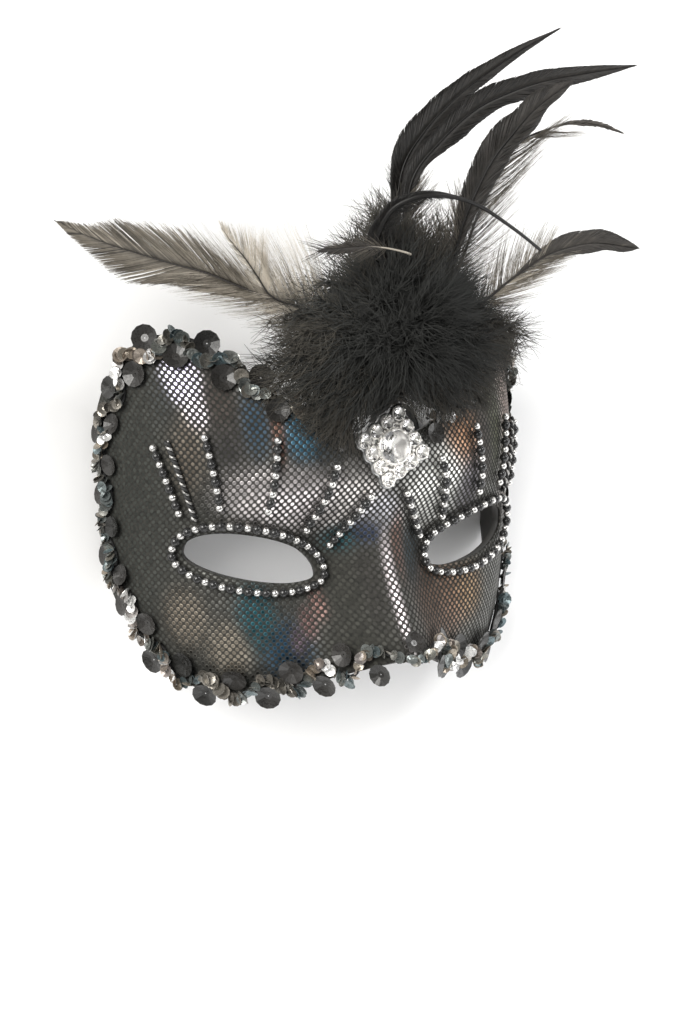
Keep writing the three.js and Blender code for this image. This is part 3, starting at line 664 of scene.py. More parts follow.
def feather_material():
    """Barbs whose colour comes from the attribute tone: 0 black, 1 pale down."""
    paint = Paint("feathers", (0.02, 0.02, 0.02), 0.5, specular=0.3)
    streak = paint.noise(700.0, 2.0)
    tone = paint.calc("ADD", paint.attribute("tone"), paint.mapped(streak, -0.08, 0.08), clamp=True)
    paint.feed("Base Color", paint.ramp(
        tone, (0.0, (0.005, 0.0045, 0.004)), (0.3, (0.04, 0.036, 0.032)), (0.6, (0.2, 0.178, 0.145)),
        (1.0, (0.62, 0.565, 0.48))))
    paint.feed("Roughness", paint.mapped(streak, 0.38, 0.6))
    return paint.material


# The mottled ones by name, dark and light colour, scale of the noise, roughness, metallic and relief
MATERIALS = {
    "shell": mottled("shell_plastic", (0.03, 0.03, 0.028), (0.055, 0.052, 0.048), 90, (0.5, 0.7), 0.0, 0.05),
    "thread": mottled("thread", (0.01, 0.01, 0.01), (0.03, 0.03, 0.03), 900, (0.6, 0.8), 0.0, 0.05),
    "metal_thread": mottled("metal_thread", (0.12, 0.12, 0.115), (0.55, 0.54, 0.52), 500, (0.35, 0.5), 1.0),
    "silver": mottled("silver_setting", (0.85, 0.83, 0.79), (1.0, 0.98, 0.95), 350, (0.35, 0.55), 1.0, 0.04),
    "dark_silver": mottled("oxidised_silver", (0.25, 0.25, 0.25), (0.65, 0.65, 0.64), 500, (0.25, 0.45), 1.0,
                           0.05),
    "elastic": mottled("woven_elastic", (0.008, 0.008, 0.008), (0.03, 0.03, 0.03), 1500, (0.7, 0.9), 0.0,
                       0.1),
    "fabric": fabric_material(),
    "sequins": sequin_material(),
    "beads": bead_material(),
    "stones": stone_material(),
    "down": down_material("marabou_down", (0.027, 0.0275, 0.026), (0.036, 0.037, 0.0345)),
    # The wisps are a lighter, browner copy of the down: partly a browner tone of their own and partly painted
    # light, for thin fuzz with light coming through it.
    "wisps": down_material("marabou_wisps_painted_lighter", (0.042, 0.039, 0.033), (0.078, 0.071, 0.059)),
    "feathers": feather_material(),
}


# Shell and fabric

def half_grid():
    """Angles and heights of one half of the mask, row by row from its eye hole out to its edge."""
    edge = half_edge(EDGE_DETAIL, RIM_STEPS)
    midline = np.linspace(BOTTOM_EDGE[-1], TOP_EDGE[0], MIDLINE_STEPS + 1)[1:-1]
    border = np.concatenate([edge, midline])
    per_degree = degree_length(EYE["angle"], EYE["height"])
    across = (border[:, 0] - EYE["angle"]) * per_degree
    turn = np.arctan2((border[:, 1] - EYE["height"]) / EYE["up"], across / EYE["half_length"])
    eye_angle, eye_height = eye_point(turn, -HOLE_INSIDE_RING)
    share = np.linspace(0, 1, SKIN_ROWS + 1)[:, None]
    return mix(eye_angle, border[:, 0], share), mix(eye_height, border[:, 1], share)


def weave_place(angle, height):
    """Millimetres across the cloth from the midline, and up it, for a place on the mask."""
    shares = np.linspace(0, 1, WEAVE_STEPS + 1)
    points = face_point(angle[..., None] * shares, height[..., None])
    points[..., 2] -= NOSE_STRETCH * nose_at(points[..., 0], points[..., 1])
    across = np.linalg.norm(np.diff(points, axis=-2), axis=-1).sum(-1)
    return np.stack([np.sign(angle) * across, height, 0 * height], -1)


def skin(low, high):
    """Points, faces and cloth places of a layer of the mask between two heights above the moulded surface."""
    angle, height = half_grid()
    rows, columns = angle.shape
    size = rows * columns
    on_midline = angle[-1] < 1e-6
    points, faces, places = [], [], []
    for side in (1, -1):
        start = 2 * size * len(faces)
        for lift in (high, low):
            points.append(lifted(side * angle, height, lift).reshape(-1, 3))
            places.append(weave_place(side * angle, height).reshape(-1, 3))
        top = start + grid_faces(rows, columns)
        bottom = top[:, ::-1] + size
        walls = []
        for c in range(columns):
            d = (c + 1) % columns
            walls.append([start + d, start + c, start + size + c, start + size + d])
            if not (on_midline[c] and on_midline[d]):
                last = start + (rows - 1) * columns
                walls.append([last + c, last + d, last + size + d, last + size + c])
        half = np.concatenate([top, bottom, np.array(walls)])
        faces.append(half if side > 0 else half[:, ::-1])
    return np.concatenate(points), np.concatenate(faces).tolist(), np.concatenate(places)


# Colours of the fabric's dots, which hold painted light as well as their own tints. The pale patches are
# painted highlights (the lobe, the brow band and the nose ridge). The near-black ones are painted shade
# (round the lobe, beside the nose and down the wearer's right side). The blue, copper and brown ones are
# partly the dots' own tint and partly painted reflection. Each is angle, height, reach in each, colour. Where
# patches overlap, the colour is their mean, each by its weight there.
FOIL_BASE = (0.11, 0.11, 0.102)
FOIL_BASE_WEIGHT = 0.3
PATCH_WEIGHT = 2.5
PATCH_FALL = 1.5
FOIL_AND_PAINTED_LIGHT_PATCHES = [
    # the lobe and the forehead on the wearer's right: a painted highlight on the lobe, painted shade round it
    (-51.5, 57.5, 4.3, 5.5, (0.66, 0.62, 0.8)), (-48, 48, 2.6, 4.5, (0.4, 0.37, 0.42)),
    (-57, 52, 4, 9, (0.04, 0.045, 0.045)), (-41, 50, 4, 9, (0.05, 0.038, 0.033)),
    (-52, 35, 5, 11, (0.11, 0.09, 0.07)), (-40, 37, 4.5, 8, (0.035, 0.032, 0.034)),
    (-33, 43, 3, 8, (0.025, 0.06, 0.1)), (-27.5, 42, 1.3, 9, (0.3, 0.16, 0.12)),
    (-21.5, 40, 3.4, 6, (0.12, 0.34, 0.52)), (-16, 40, 3, 9, (0.04, 0.05, 0.06)),
    # the brow: a band of painted highlight, which goes on to the wearer's left, with tints further up
    (-33, 22, 8, 6, (0.88, 0.82, 0.82)), (-22, 20, 8, 7, (0.8, 0.74, 0.75)),
    (-10, 19, 7, 8, (0.76, 0.72, 0.7)), (-2, 14, 5, 5, (0.5, 0.5, 0.54)),
    (15, 21, 7, 10, (1.0, 1.0, 0.96)), (27, 22, 5, 8, (0.12, 0.11, 0.13)),
    (24.5, 36, 5.5, 8, (0.42, 0.23, 0.13)), (33, 34, 5, 12, (0.06, 0.05, 0.045)),
    (41, 40, 4, 13, (0.08, 0.085, 0.05)), (57, 40, 8, 22, (0.26, 0.17, 0.135)),
    # the nose: a narrow painted highlight down the ridge, and painted shade on its flanks
    (0, -10, 1.1, 15, (1.0, 0.9, 0.92)), (-10, 6, 3.5, 4, (0.05, 0.17, 0.2)),
    (-4.5, 8, 3, 3.5, (0.08, 0.12, 0.24)), (4, 3, 2, 9, (0.13, 0.07, 0.055)),
    (9.5, -3, 3.6, 9, (0.02, 0.035, 0.045)), (-11, -10, 6, 15, (0.027, 0.027, 0.022)),
    (-10, -30, 6, 8, (0.03, 0.03, 0.024)), (-5, -8, 2.4, 14, (0.028, 0.025, 0.024)),
    (14, -18, 6, 13, (0.09, 0.05, 0.032)),
    # the cheeks and the sides: tints, and painted shade down the wearer's right side
    (23, -20, 6, 9, (0.15, 0.085, 0.055)), (31, -18, 6, 7, (0.18, 0.115, 0.06)),
    (-34, -19, 4, 8, (0.03, 0.15, 0.19)), (-27, -29, 5, 7, (0.03, 0.1, 0.18)),
    (-17, -15, 1.7, 4, (0.3, 0.17, 0.15)), (-20.5, -21, 1.7, 4, (0.32, 0.19, 0.18)),
    (-24, -27, 1.9, 4, (0.32, 0.2, 0.22)), (-55, -18, 5, 7, (0.4, 0.34, 0.27)),
    (-43, -28, 5, 6, (0.46, 0.4, 0.32)), (-72, 20, 15, 45, (0.018, 0.021, 0.018)),
]


# The dots' colour at each place, with the painted highlights and painted shade included.
def foil_and_painted_light_colors(angle, height):
    total = np.full(angle.shape, FOIL_BASE_WEIGHT)
    color = np.array(FOIL_BASE) * total[..., None]
    for centre, rise, reach, spread, shade in FOIL_AND_PAINTED_LIGHT_PATCHES:
        weight = PATCH_WEIGHT * (bump(angle - centre, reach) * bump(height - rise, spread)) ** PATCH_FALL
        total = total + weight
        color = color + np.array(shade) * weight[..., None]
    return color / total[..., None]


def add_shell():
    points, faces, _ = skin(-SHELL_THICKNESS, 0.0)
    make_piece("moulded_shell", points, faces, "shell", ["mask_shell"], "shell", merge=True)


def add_fabric():
    points, faces, places = skin(FABRIC_BOTTOM, FABRIC_TOP)
    angle, height = half_grid()
    angles = np.concatenate([s * angle.ravel() for s in (1, 1, -1, -1)])
    heights = np.tile(height.ravel(), 4)
    # The attribute holds painted highlights and painted shade besides the dots' own tints.
    attributes = {"weave": places, "foil_and_painted_light": foil_and_painted_light_colors(angles, heights)}
    piece = make_piece("mesh_fabric", points, faces, "fabric", ["fabric_cover"], "mesh_fabric",
                       attributes, merge=True)


# Braid

def edge_loop():
    """The whole edge of the mask: angle and height, way inwards, length so far and place across the face."""
    half = half_edge(detail=12, rim_steps=60)
    loop = np.concatenate([half, half[-2::-1] * [-1, 1]])
    angle, height = loop.T
    per_degree = degree_length(angle, height)
    ahead = np.gradient(angle) * per_degree
    rise = np.gradient(height)
    size = np.hypot(ahead, rise)
    inward = np.stack([rise / size / per_degree, -ahead / size], -1)
    points = face_point(angle, height)
    return loop, inward, run_length(points), points[:, 0]


def braid_course():
    """The braid's middle at a fine run of wave phases: phase, angle, height, way inwards, size and inset."""
    loop, inward, length, x = edge_loop()
    start = length[np.argmax(x > BRAID_START)]
    run = length[-1] - 2 * start
    phase = np.linspace(0, round(run / BRAID_WAVE), COURSE_STEPS)
    at = start + run * phase / phase[-1]
    angle, height, turn, rise = (np.interp(at, length, v) for v in (*loop.T, *inward.T))
    across = np.abs(angle)
    behind = np.where(height > 20, 1 - smoothstep(across, *BEHIND_PUFF_ANGLES), 0)
    at_nose = np.where(height < 0, bump(angle, NOSE_ANGLE), 0)
    at_side = smoothstep(across, *SIDE_ANGLES)
    size = mix(1, BRAID_NARROWING, np.maximum(np.maximum(behind, at_nose), at_side))
    rim_inset = BRAID_ABOVE_FLOOR + size * (LARGE_SEQUIN["swing"] + LARGE_SEQUIN["radius"])
    inset = mix(mix(BRAID_INSET, INSET_BEHIND_PUFF, behind), INSET_AT_NOSE, at_nose)
    return phase, angle, height, turn, rise, size, mix(inset, rim_inset, at_side)


def on_braid(phases, swing):
    """Places on the braid, furthest outwards at whole phases for a swing above zero: angle, height, size."""
    course = braid_course()
    angle, height, turn, rise, size, inset = (np.interp(phases, course[0], v) for v in course[1:])
    offset = inset - size * swing * np.cos(2 * np.pi * phases)
    return angle + turn * offset, height + rise * offset, size


def braid_lift(angle, height):
    over_nose = BRAID_OVER_NOSE["rise"] * bump(angle, BRAID_OVER_NOSE["reach"])
    return BRAID_LIFT + np.where(height < 0, over_nose, 0)


def sequin_row(rng, kind, places, radius, lift, tint):
    """Cup sequins that each lean back on the next: their shapes, and a tint for each of their points."""
    angle, height, size = places
    count = len(angle)
    centre = lifted(angle, height, braid_lift(angle, height) + lift)
    out = face_normal(angle, height)
    along = heading(centre)
    lean = np.radians(kind["tilt"] + rng.normal(0, SEQUIN_TILT_STRAY, (count, 1)))
    out = unit(out * np.cos(lean) + along * np.sin(lean) + rng.normal(0, kind["stray"], out.shape))
    side, ahead = square_to(out, along)
    faces = rod_faces(len(SEQUIN_PROFILE), SEQUIN_SIDES, True)
    shapes = []
    for i in range(count):
        turn = rng.uniform(0, 2 * np.pi) + turns(SEQUIN_SIDES)
        rim = np.outer(np.cos(turn), side[i]) + np.outer(np.sin(turn), ahead[i])
        reach = size[i] * radius[i]
        rings = [centre[i] + reach * (rise * out[i] + share * rim) for share, rise in SEQUIN_PROFILE]
        shapes.append((np.concatenate(rings), faces))
    return shapes, np.repeat(tint, len(SEQUIN_PROFILE) * SEQUIN_SIDES)


def add_braid():
    rng = np.random.default_rng(7)
    waves = braid_course()[0][-1]
    phases = np.linspace(0, waves, round(waves * ROPE["per_wave"]) + 1)
    count = len(phases)
    stretches = np.arange(0, waves + 1, TINT_STRETCH)
    tint = np.interp(phases, stretches, rng.choice(ROPE_TINTS, len(stretches)))
    tint = np.clip(tint + rng.normal(0, ROPE["tint_stray"], count), *ROPE["tints"])
    swing = ROPE["swing"] + rng.normal(0, ROPE["swing_stray"], count)
    radius = ROPE["radius"] * rng.uniform(*ROPE["sizes"], count)
    lift = rng.uniform(*ROPE["lift"], count)
    rope, rope_tint = sequin_row(rng, ROPE, on_braid(phases, swing), radius, lift, tint)
    bends = np.arange(2 * waves + 1) / 2
    places = on_braid(bends, -LARGE_SEQUIN["swing"])
    radius = np.full(len(bends), LARGE_SEQUIN["radius"])
    lift, tint = (rng.uniform(*LARGE_SEQUIN[key], len(bends)) for key in ("lift", "tints"))
    large, large_tint = sequin_row(rng, LARGE_SEQUIN, places, radius, lift, tint)
    make_piece("sequin_braid", *gather(rope + large), "sequins", ["sequin_trim"], "sequins",
               {"tint": np.concatenate([rope_tint, large_tint])}, is_smooth=False)
    phases = np.linspace(0, waves, round(waves * BRAID_THREAD["per_wave"]) + 1)
    angle, height, _ = on_braid(phases, ROPE["swing"])
    line = lifted(angle, height, braid_lift(angle, height) - BRAID_THREAD["depth"])
    add_cord("braid_thread", line, BRAID_THREAD["radius"], "thread", "sequins")


# Beads

def ball(columns, rows):
    """Points and faces of a round bead, its poles along the first axis."""
    lat = np.linspace(-np.pi / 2, np.pi / 2, rows + 1)[1:-1]
    lat, lon = np.meshgrid(lat, turns(columns), indexing="ij")
    points = np.stack([np.sin(lat), np.cos(lat) * np.cos(lon), np.cos(lat) * np.sin(lon)], -1).reshape(-1, 3)
    points = np.concatenate([points, [[-1, 0, 0], [1, 0, 0]]])
    faces = grid_faces(rows - 1, columns)[:, ::-1].tolist()
    south, north, last = len(points) - 2, len(points) - 1, (rows - 2) * columns
    for c in range(columns):
        d = (c + 1) % columns
        faces += [[south, c, d], [north, last + d, last + c]]
    return points, faces


def bead_string(name, angle, height, node, is_closed):
    centre = lifted(angle, height, FABRIC_TOP + SEAT_GAP + BLACK_BEAD)
    along = heading(centre, is_closed)
    axes = np.stack([along, *square_to(along, face_normal(angle, height))], 1)
    is_silver = np.arange(len(angle)) % 2 == 0
    shape, faces = ball(14, 8)
    beads = [(centre[i] + (SILVER_BEAD if is_silver[i] else BLACK_BEAD) * shape @ axes[i], faces)
             for i in range(len(angle))]
    tint = np.repeat(is_silver.astype(float), len(shape))
    make_piece(name, *gather(beads), "beads", [node], "beads", {"tint": tint})
    add_cord(name + "_thread", centre, BEAD_THREAD, "thread", "beads", is_closed)


def ring_places(side):
    """The places of the beads round an eye hole, evenly spaced."""
    angle, height = eye_point(np.linspace(0, 2 * np.pi, RING_STEPS + 1), 0)
    length = run_length(face_point(side * angle, height))
    targets = length[-1] * (np.arange(RING_BEADS) + 0.5) / RING_BEADS
    return side * np.interp(targets, length, angle), np.interp(targets, length, height)


def add_twisted_cord(name, side):
    """Two plies wound round each other, beside the outermost row of beads."""
    share = np.linspace(0, 1, TWISTED_CORD["steps"])
    angle, height = (mix(TWISTED_CORD["from"][k], TWISTED_CORD["to"][k], share) for k in (0, 1))
    line = lifted(side * angle, height, FABRIC_TOP + TWISTED_CORD["lift"])
    out = face_normal(side * angle, height)
    across = unit(np.cross(heading(line), out))
    for ply, material in enumerate(("thread", "metal_thread")):
        turn = (2 * np.pi * (TWISTED_CORD["turns"] * share + ply / 2))[:, None]
        path = line + TWISTED_CORD["swing"] * (across * np.cos(turn) + out * np.sin(turn))
        add_cord(f"{name}_{ply + 1}", path, TWISTED_CORD["radius"], material, "beads")


def add_beads():
    share = np.arange(RAY_BEADS) / (RAY_BEADS - 1)
    for label, side in (("left", 1), ("right", -1)):
        bead_string(f"bead_ring_{label}", *ring_places(side), f"eye_beads_{label}", True)
        for i, (start, end) in enumerate(BEAD_RAYS):
            angle, height = (mix(start[k], end[k], share) for k in (0, 1))
            bead_string(f"bead_row_{label}_{i + 1}", side * angle, height, f"bead_ray_{label}_{i + 1}", False)
        add_twisted_cord(f"twisted_cord_{label}", side)


# Jewel

def jewel_places():
    """The middles of the small stones, anticlockwise from the top corner."""
    corners = [JEWEL["half_diagonal"] * np.array([-math.sin(a), math.cos(a)]) for a in turns(4)]
    return np.array([mix(corners[i], corners[(i + 1) % 4], k / 3) for i in range(4) for k in range(3)])


def on_jewel(points):
    """From the jewel's own frame, its back at z = 0, to the mask's."""
    normal = Vector(face_normal(JEWEL["angle"], JEWEL["height"]))
    turn = UP_VECTOR.rotation_difference(normal) @ Quaternion(UP_VECTOR, math.radians(JEWEL["turn"]))
    seat = lifted(JEWEL["angle"], JEWEL["height"], FABRIC_TOP + SEAT_GAP)
    return np.asarray(points) @ np.array(turn.to_matrix()).T + seat


def level_ring(count, radius, height, centre):
    turn = turns(count)
    return np.stack([centre[0] + radius * np.cos(turn), centre[1] + radius * np.sin(turn),
                     np.full(count, height)], -1)


def cup(radius, base, top, centre, sides):
    """The silver cup that holds a stone, its hollow upwards."""
    profile = [(radius * 0.98, base), (radius * 1.06, mix(base, top, 0.5)), (radius * 1.02, top),
               (radius * 0.9, top), (radius * 0.15, base + 0.12 * (top - base))]
    rings = [level_ring(sides, r, z, centre) for r, z in profile]
    return np.concatenate(rings), flipped(rod_faces(len(profile), sides))


def granules(angles, reach, height, radius, centre=(0, 0)):
    """Little silver balls in a circle round a centre."""
    shape, faces = ball(10, 6)
    spots = [[centre[0] + reach * math.cos(a), centre[1] + reach * math.sin(a), height] for a in angles]
    return [(shape * radius + spot, faces) for spot in spots]


def brilliant(radius, crown, depth, centre, seat):
    """A round cut stone: table, star and kite facets, a thin girdle and a point below."""
    table = level_ring(8, 0.58 * radius, seat + crown, centre)
    girdle = [level_ring(16, radius, height, centre) for height in (seat + 0.06 * radius, seat)]
    points = np.concatenate([table, *girdle, [[centre[0], centre[1], seat - depth]]])
    faces = [list(range(8))]
    for i in range(8):
        j = (i + 1) % 8
        first, after, last = 8 + 2 * i, 9 + 2 * i, 8 + 2 * j
        faces += [[i, first, after], [i, after, j], [j, after, last]]
    for i in range(16):
        j = (i + 1) % 16
        faces += [[8 + i, 24 + i, 24 + j, 8 + j], [24 + i, 40, 24 + j]]
    return points, faces


def plate_ring(places, inset, rise):
    """The plate's outline: round corners about the middles of the outer stones."""
    ring = []
    for i, place in enumerate(places):
        is_corner = i % 3 == 0
        outward = np.pi / 2 + (i // 3) * np.pi / 2 + (0 if is_corner else np.pi / 4)
        half = np.pi / 2 if is_corner else np.pi / 4
        for a in np.linspace(outward - half, outward + half, 9 if is_corner else 5):
            ring.append([*(place + (JEWEL_CORNER - inset) * np.array([math.cos(a), math.sin(a)])), rise])
    return ring


def add_plate(places, plate):
    """The dark plate under the cups, its upper edge cut back."""
    rings = [plate_ring(places, *step) for step in ((0, 0), (0, plate - 0.6), (0.4, plate - 0.3))]
    points = on_jewel(np.array(rings).reshape(-1, 3))
    faces = flipped(rod_faces(len(rings), len(rings[0])))
    make_piece("jewel_plate", points, faces, "dark_silver", ["jewel_setting"], "silver_setting")


def add_cups(places, plate):
    """A cup for each stone. Granules hold the stones, ring the centre one and sit three to a corner."""
    shapes = [cup(SMALL_STONE + 0.12, plate - 0.4, plate + 0.55, place, sides=20) for place in places]
    shapes.append(cup(CENTRE_STONE - 0.05, plate - 0.4, plate + 1.5, (0, 0), sides=36))
    for i, place in enumerate(places):
        angles = turns(4) + (np.pi / 4 if i % 3 == 0 else 0)
        shapes += granules(angles, SMALL_STONE - 0.05, height=plate + 0.85, radius=0.42, centre=place)
    shapes += granules(turns(8) + np.pi / 8, reach=5.35, height=plate + 1.95, radius=0.6)
    shapes += granules(turns(32), reach=5.85, height=plate + 0.5, radius=0.42)
    corners = np.add.outer(turns(4), [-0.17, 0, 0.17]).ravel()
    shapes += granules(corners, reach=7.4, height=plate + 0.1, radius=0.62)
    points, faces = gather(shapes)
    make_piece("jewel_cups", on_jewel(points), faces, "silver", (), "silver_setting")


def add_stones(places, plate):
    stones = [brilliant(SMALL_STONE - 0.1, crown=1.0, depth=0.85, centre=place, seat=plate + 0.62)
              for place in places]
    points, faces = gather(stones)
    nodes = [f"jewel_small_stone_{i + 1}" for i in range(len(places))]
    make_piece("small_stones", on_jewel(points), faces, "stones", nodes, "clear_stones", is_smooth=False)
    points, faces = brilliant(CENTRE_STONE - 0.4, crown=1.9, depth=1.55, centre=(0, 0), seat=plate + 1.6)
    make_piece("centre_stone", on_jewel(points), faces, "stones", ["jewel_centre_stone"], "clear_stones",
               is_smooth=False)


def add_jewel():
    for add_part in (add_plate, add_cups, add_stones):
        add_part(jewel_places(), JEWEL["plate"])


# Down and feathers

def mask_surface(x, y):
    """The height of the moulded surface over a place in the ground plane, carried on past the top edge."""
    across = np.clip(x / half_width_at(y), -0.98, 0.98)
    return face_point(np.degrees(np.arcsin(across)), y)[..., 2]


def puff_reach(turn):
    """How far the down's outline is from its middle in a direction."""
    return np.interp(np.degrees(turn), *np.array(PUFF_OUTLINE, float).T, period=360)


def puff_point(turn, share, rise):
    """A place in the down, by direction round its middle, share of its outline and share of its depth."""
    reach = puff_reach(turn)
    x = PUFF_CENTRE[0] + reach * share * np.cos(turn)
    y = PUFF_CENTRE[1] + reach * share * np.sin(turn)
    surface = mask_surface(x, y) + PUFF_SURFACE_GAP
    edge = mix(surface, np.maximum(surface, PUFF_BACK_EDGE), smoothstep(y, *PUFF_BACK))
    middle = mix(PUFF_CENTRE[2], edge, smooth(share))
    depth = np.sqrt(np.maximum(1 - np.minimum(share, 1) ** 2, 0.0))
    z = middle + np.where(rise > 0, PUFF_DOME, PUFF_UNDER) * depth * rise
    return np.stack([x, y, np.maximum(z, surface)], -1)


def clear_of_jewel(points):
    """True for strands that stay out of a column over the jewel, which leans to the side it's seen from."""
    seat = on_jewel(np.zeros(3))
    local = (points - seat) @ (on_jewel(np.eye(3)) - seat).T
    x, y, z = np.moveaxis(local, -1, 0)
    bottom, top = JEWEL_COLUMN["bottom"], JEWEL_COLUMN["top"]
    size = JEWEL["half_diagonal"] + JEWEL_COLUMN["margin"] + JEWEL_COLUMN["widening"] * np.clip(z, 0, top)
    off_axis = np.abs(x + JEWEL_COLUMN["lean"][0] * z) + np.abs(y + JEWEL_COLUMN["lean"][1] * z)
    return ~((off_axis < size) & (z > bottom) & (z < top)).any(-1)


def outline_share(points):
    """How far out a place is, as a share of the down's outline in its direction."""
    x, y = points[..., 0] - PUFF_CENTRE[0], points[..., 1] - PUFF_CENTRE[1]
    return np.hypot(x, y) / puff_reach(np.arctan2(y, x))


def down_strands(rng, barbs, radii, directions, plumes, shares, length, furthest, raised):
    """Small plumes that point outwards, each a stem's worth of fine barbs that curl away from it."""
    turn = np.radians(rng.uniform(*directions, plumes))
    share = np.sqrt(rng.uniform(shares[0] ** 2, shares[1] ** 2, plumes))
    rise = np.where(rng.uniform(size=plumes) < PLUMES_RISING, 1.0, -1.0) * rng.uniform(0.8, 1.0, plumes)
    tip = puff_point(turn, share, rise)
    tip[:, 2] += raised
    base = puff_point(turn + rng.normal(0, STEM_STRAY, plumes), STEM_START * share, STEM_START * rise)
    tip, base, outward = (np.repeat(v, barbs, 0) for v in (tip, base, unit(tip - base)))
    count = len(tip)
    root = mix(base, tip, rng.uniform(0, 1, (count, 1)))
    around = unit(np.cross(outward, rng.normal(size=(count, 3))))
    lean = np.radians(rng.uniform(*STRAND_LEAN, (count, 1)))
    way = outward * np.cos(lean) + around * np.sin(lean)
    reach = rng.uniform(*length, (count, 1))
    t = np.linspace(0, 1, STRAND_STEPS)[None, :, None]
    curl = unit(np.cross(way, rng.normal(size=(count, 3))))
    bend = outward * rng.uniform(0, STRAND_BEND, (count, 1)) + curl * rng.uniform(0, STRAND_CURL, (count, 1))
    bend = bend - STRAND_SAG * UP
    wave = unit(np.cross(way, curl)) * rng.uniform(0, STRAND_WAVE, (count, 1))
    line = root[:, None] + reach[:, None] * (way[:, None] * t + bend[:, None] * t ** 2
                                             + wave[:, None] * np.sin(2 * np.pi * t))
    line[..., 2] = np.maximum(line[..., 2], mask_surface(line[..., 0], line[..., 1]) + STRAND_CLEARANCE)
    line = line[clear_of_jewel(line) & (outline_share(line[:, -1]) < furthest)]
    side, up = square_to(heading(line), UP + 0.01)
    width = np.broadcast_to(mix(*radii, t[..., 0] ** 0.8), line.shape[:2])
    return tubes(line, side, up, width, width, 3)


def add_puff():
    rng = np.random.default_rng(21)
    turn = turns(PUFF_CORE_SIDES)
    core = [puff_point(turn, share * rng.normal(1, PUFF_CORE_STRAY, len(turn)), np.full(len(turn), rise))
            for share, rise in PUFF_CORE]
    shapes = [(np.concatenate(core), rod_faces(len(core), len(turn)))]
    shapes += [down_strands(rng, DOWN_BARBS, DOWN_RADII, *group) for group in DOWN_GROUPS]
    make_piece("marabou_down", *gather(shapes), "down", ["marabou_puff"], "marabou")
    # The outer wisps get the down's lighter copy, whose colour holds painted light.
    wisps = [down_strands(rng, WISP_BARBS, WISP_RADII, *group) for group in WISP_GROUPS]
    make_piece("marabou_wisps_painted_lighter", *gather(wisps), "wisps", (), "marabou")


def add_barbs(rng, layer, direction, total, at):
    """One layer of barbs on one side of a quill: their points, faces and tones."""
    count = int(total * (layer["to"] - layer["from"]) / layer["spacing"])
    share = (np.arange(count) + rng.uniform(0.5 - layer["jitter"], 0.5 + layer["jitter"], count)) / count
    share = mix(layer["from"], layer["to"], share)
    along = (share - layer["from"]) / (layer["to"] - layer["from"])
    locks = count // 6 + 1
    lock = np.resize(np.repeat(rng.normal(0, 1, locks), rng.integers(*LOCK_SIZES, locks)), count)
    root, ahead, aside, facing = at(share)
    mean_lean = mix(*layer["lean"], along)
    stray = LOCK_LEAN * lock + BARB_LEAN * rng.normal(0, 1, count)
    lean = np.radians(mean_lean + layer["loose"] * stray)[:, None]
    reach = layer["outline"](along) * rng.uniform(*layer["vary"], count)
    if "half_width" in layer:
        reach = reach * layer["half_width"] / np.cos(np.radians(mean_lean))
    else:
        reach = reach * layer["reach"]
    way = unit(aside * direction * np.cos(lean) + ahead * np.sin(lean))
    t = np.linspace(0, 1, BARB_STEPS)[None, :, None]
    bend = ahead * layer["bend"] + facing * rng.normal(0, layer["fluff"], count)[:, None]
    path = root[:, None] + reach[:, None, None] * (way[:, None] * t + bend[:, None] * t ** 2)
    path = path + facing[:, None] * VANE_OFFSET * direction
    way_now = heading(path)
    face = unit(facing[:, None] - (facing[:, None] * way_now).sum(-1, keepdims=True) * way_now)
    width = layer["width"] * (1 - 0.75 * t[..., 0] ** layer["taper"]) * np.ones((count, 1))
    points, faces = tubes(path, np.cross(way_now, face), face, width, np.minimum(width, layer["thin"]),
                          layer["corners"])
    tone = mix(*layer["tone"], along) * (1 + LOCK_SHADE * lock) + rng.normal(0, BARB_SHADE, count)
    return points, faces, np.repeat(tone, BARB_STEPS * layer["corners"])


def add_feather(name, slot, quill, layers, seed):
    rng = np.random.default_rng(seed)
    line = spline(FEATHERS[name], QUILL_STEPS)
    length = run_length(line)
    tangent = heading(line)
    across = unit(np.cross(VANE_FACING, tangent))
    out = np.cross(tangent, across)

    def at(share):
        run = share * length[-1]
        return [np.stack([np.interp(run, length, v[:, k]) for k in range(3)], -1)
                for v in (line, tangent, across, out)]

    radius, taper, quill_tone = quill
    rod = radius * (1 - taper * np.linspace(0, 1, QUILL_STEPS + 1))[None]
    shapes = [tubes(line[None], across[None], out[None], rod, rod, 6)]
    tones = [np.full(len(shapes[0][0]), quill_tone)]
    for direction in (1, -1):
        for layer in layers:
            if layer["side"] in (0, direction):
                points, faces, tone = add_barbs(rng, layer, direction, length[-1], at)
                shapes.append((points, faces))
                tones.append(tone)
    piece_name = name.replace("feather", "plume").replace("quill", "plume")
    attributes = {"tone": np.concatenate(tones)}
    make_piece(piece_name, *gather(shapes), "feathers", [name], slot, attributes)


# The outlines of vanes and of loose down, by how far along they are

def blade(along):
    """Pointed: full a third of the way along, narrow at both ends."""
    past = np.maximum(along - 0.35, 0)
    return np.where(along < 0.35, smooth(0.25 + 0.75 * along / 0.35), 1 - (past / 0.65) ** 1.8)


def leaf(along):
    """A blade drawn out from the middle to a finer point."""
    return blade(along) * (1 - 0.36 * smoothstep(along, 0.4, 0.85))


def slim(along):
    """Narrows early to a long thin point."""
    past = np.maximum(along - 0.3, 0)
    return np.where(along < 0.3, smooth(0.25 + 0.75 * along / 0.3), 1 - (past / 0.7) ** 1.2)


def level(along):
    """Much the same all along, fullest in the middle."""
    return 0.7 + 0.3 * np.sin(np.pi * along)


def wedge(along):
    """Longest at the root, and shorter steadily from there."""
    return 1 - 0.92 * along


